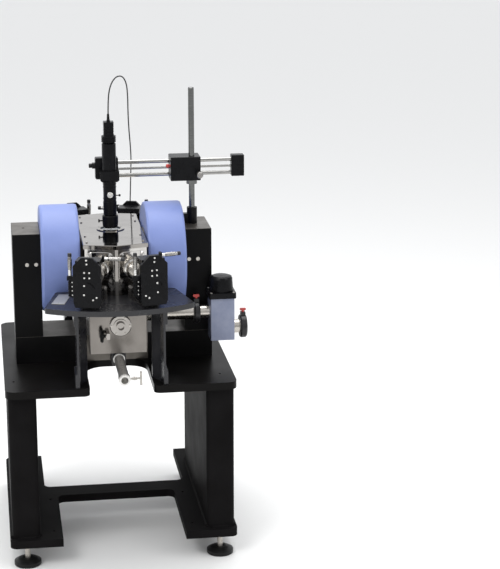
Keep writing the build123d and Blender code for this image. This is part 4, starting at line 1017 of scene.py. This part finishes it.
@dataclass
class Studio:
    """Floor, lights and camera."""

    eye: Vec = (-0.358, -5.035, 2.082)
    heading: float = 8.72
    dip: float = 14.95
    lens: float = 111.35
    aim: Vec = (0.0, 0.0, 0.8)

    def build(self) -> None:
        """Make the floor, the lights and the camera."""
        corners = np.array([(-60, -20, 0), (60, -20, 0), (60, 120, 0), (-60, 120, 0)], dtype=float)
        mesh = bpy.data.meshes.new("studio_floor")
        mesh.from_pydata(corners.tolist(), [], [[0, 1, 2, 3]])
        floor = bpy.data.objects.new("studio_floor", mesh)
        bpy.context.scene.collection.objects.link(floor)
        paint = bpy.data.materials.new("floor_paint")
        paint.use_nodes = True
        nodes = paint.node_tree.nodes
        shader = nodes["Principled BSDF"]
        shader.inputs["Base Color"].default_value = (0.86, 0.86, 0.85, 1.0)
        shader.inputs["Roughness"].default_value = 0.75
        mesh.materials.append(paint)
        self.room()
        self.lamp("key_lamp", (-2.4, -3.0, 3.8), 2.0, 85.0)
        self.lamp("fill_lamp", (3.0, -2.2, 2.6), 2.2, 30.0)
        self.lamp("top_lamp", (0.2, 0.6, 3.4), 2.2, 60.0)
        bpy.context.scene.view_settings.view_transform = "Standard"
        data = bpy.data.cameras.new("viewpoint")
        data.lens = self.lens
        data.sensor_width = 36.0
        data.clip_end = 300.0
        camera = bpy.data.objects.new("viewpoint", data)
        bpy.context.scene.collection.objects.link(camera)
        camera.location = self.eye
        camera.rotation_euler = (math.radians(90 - self.dip), 0.0, math.radians(-self.heading))
        bpy.context.scene.camera = camera

    def room(self) -> None:
        """Soft room light: the strength rises with a direction's height and towards the back."""
        world = bpy.data.worlds.new("soft_room")
        world.use_nodes = True
        nodes, links = world.node_tree.nodes, world.node_tree.links
        place = nodes.new("ShaderNodeTexCoord")
        split = nodes.new("ShaderNodeSeparateXYZ")
        links.new(place.outputs["Generated"], split.inputs["Vector"])
        strength = None
        for axis, low, high in ((2, 0.0, 0.55), (1, 0.0, 0.4)):
            span = nodes.new("ShaderNodeMapRange")
            span.interpolation_type = "SMOOTHSTEP"
            span.inputs["From Min"].default_value = -0.35
            span.inputs["From Max"].default_value = 0.75
            span.inputs["To Min"].default_value = low
            span.inputs["To Max"].default_value = high
            links.new(split.outputs[axis], span.inputs["Value"])
            if strength is None:
                strength = span.outputs["Result"]
                continue
            total = nodes.new("ShaderNodeMath")
            total.operation = "ADD"
            links.new(strength, total.inputs[0])
            links.new(span.outputs["Result"], total.inputs[1])
            strength = total.outputs[0]
        base = nodes.new("ShaderNodeMath")
        base.operation = "ADD"
        base.inputs[1].default_value = 0.3
        links.new(strength, base.inputs[0])
        back = nodes["Background"]
        back.inputs["Color"].default_value = (0.97, 0.98, 1.0, 1.0)
        links.new(base.outputs[0], back.inputs["Strength"])
        bpy.context.scene.world = world

    def lamp(self, name: str, place: Vec, size: float, power: float) -> None:
        """Make one square area lamp that faces the studio's aim.

        Args:
            name: The lamp's name.
            place: Where it stands.
            size: Its side in metres.
            power: Its power in watts.
        """
        data = bpy.data.lights.new(name, "AREA")
        data.size = size
        data.energy = power
        lamp = bpy.data.objects.new(name, data)
        bpy.context.scene.collection.objects.link(lamp)
        way = np.array(self.aim) - np.array(place)
        way = way / np.linalg.norm(way)
        lamp.location = place
        yaw = math.atan2(way[1], way[0]) - math.pi / 2
        pitch = math.asin(way[2]) + math.pi / 2
        lamp.rotation_euler = (pitch, 0.0, yaw)


def main() -> None:
    """Build the whole scene in order."""
    logging.basicConfig(level=logging.INFO, format="%(name)s %(message)s")
    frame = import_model()
    Studio().build()
    dress_nodes(frame["nodes"])
    CameraCable().build()
    for name, turn in UNIT_TURNS.items():
        Manipulator(name, turn).build()
    Chamber().build()
    Microscope().build()
    Valve().build()
    Boom().build()
    Platform().build()
    Stand().build()
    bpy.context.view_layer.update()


if __name__ == "__main__":
    main()
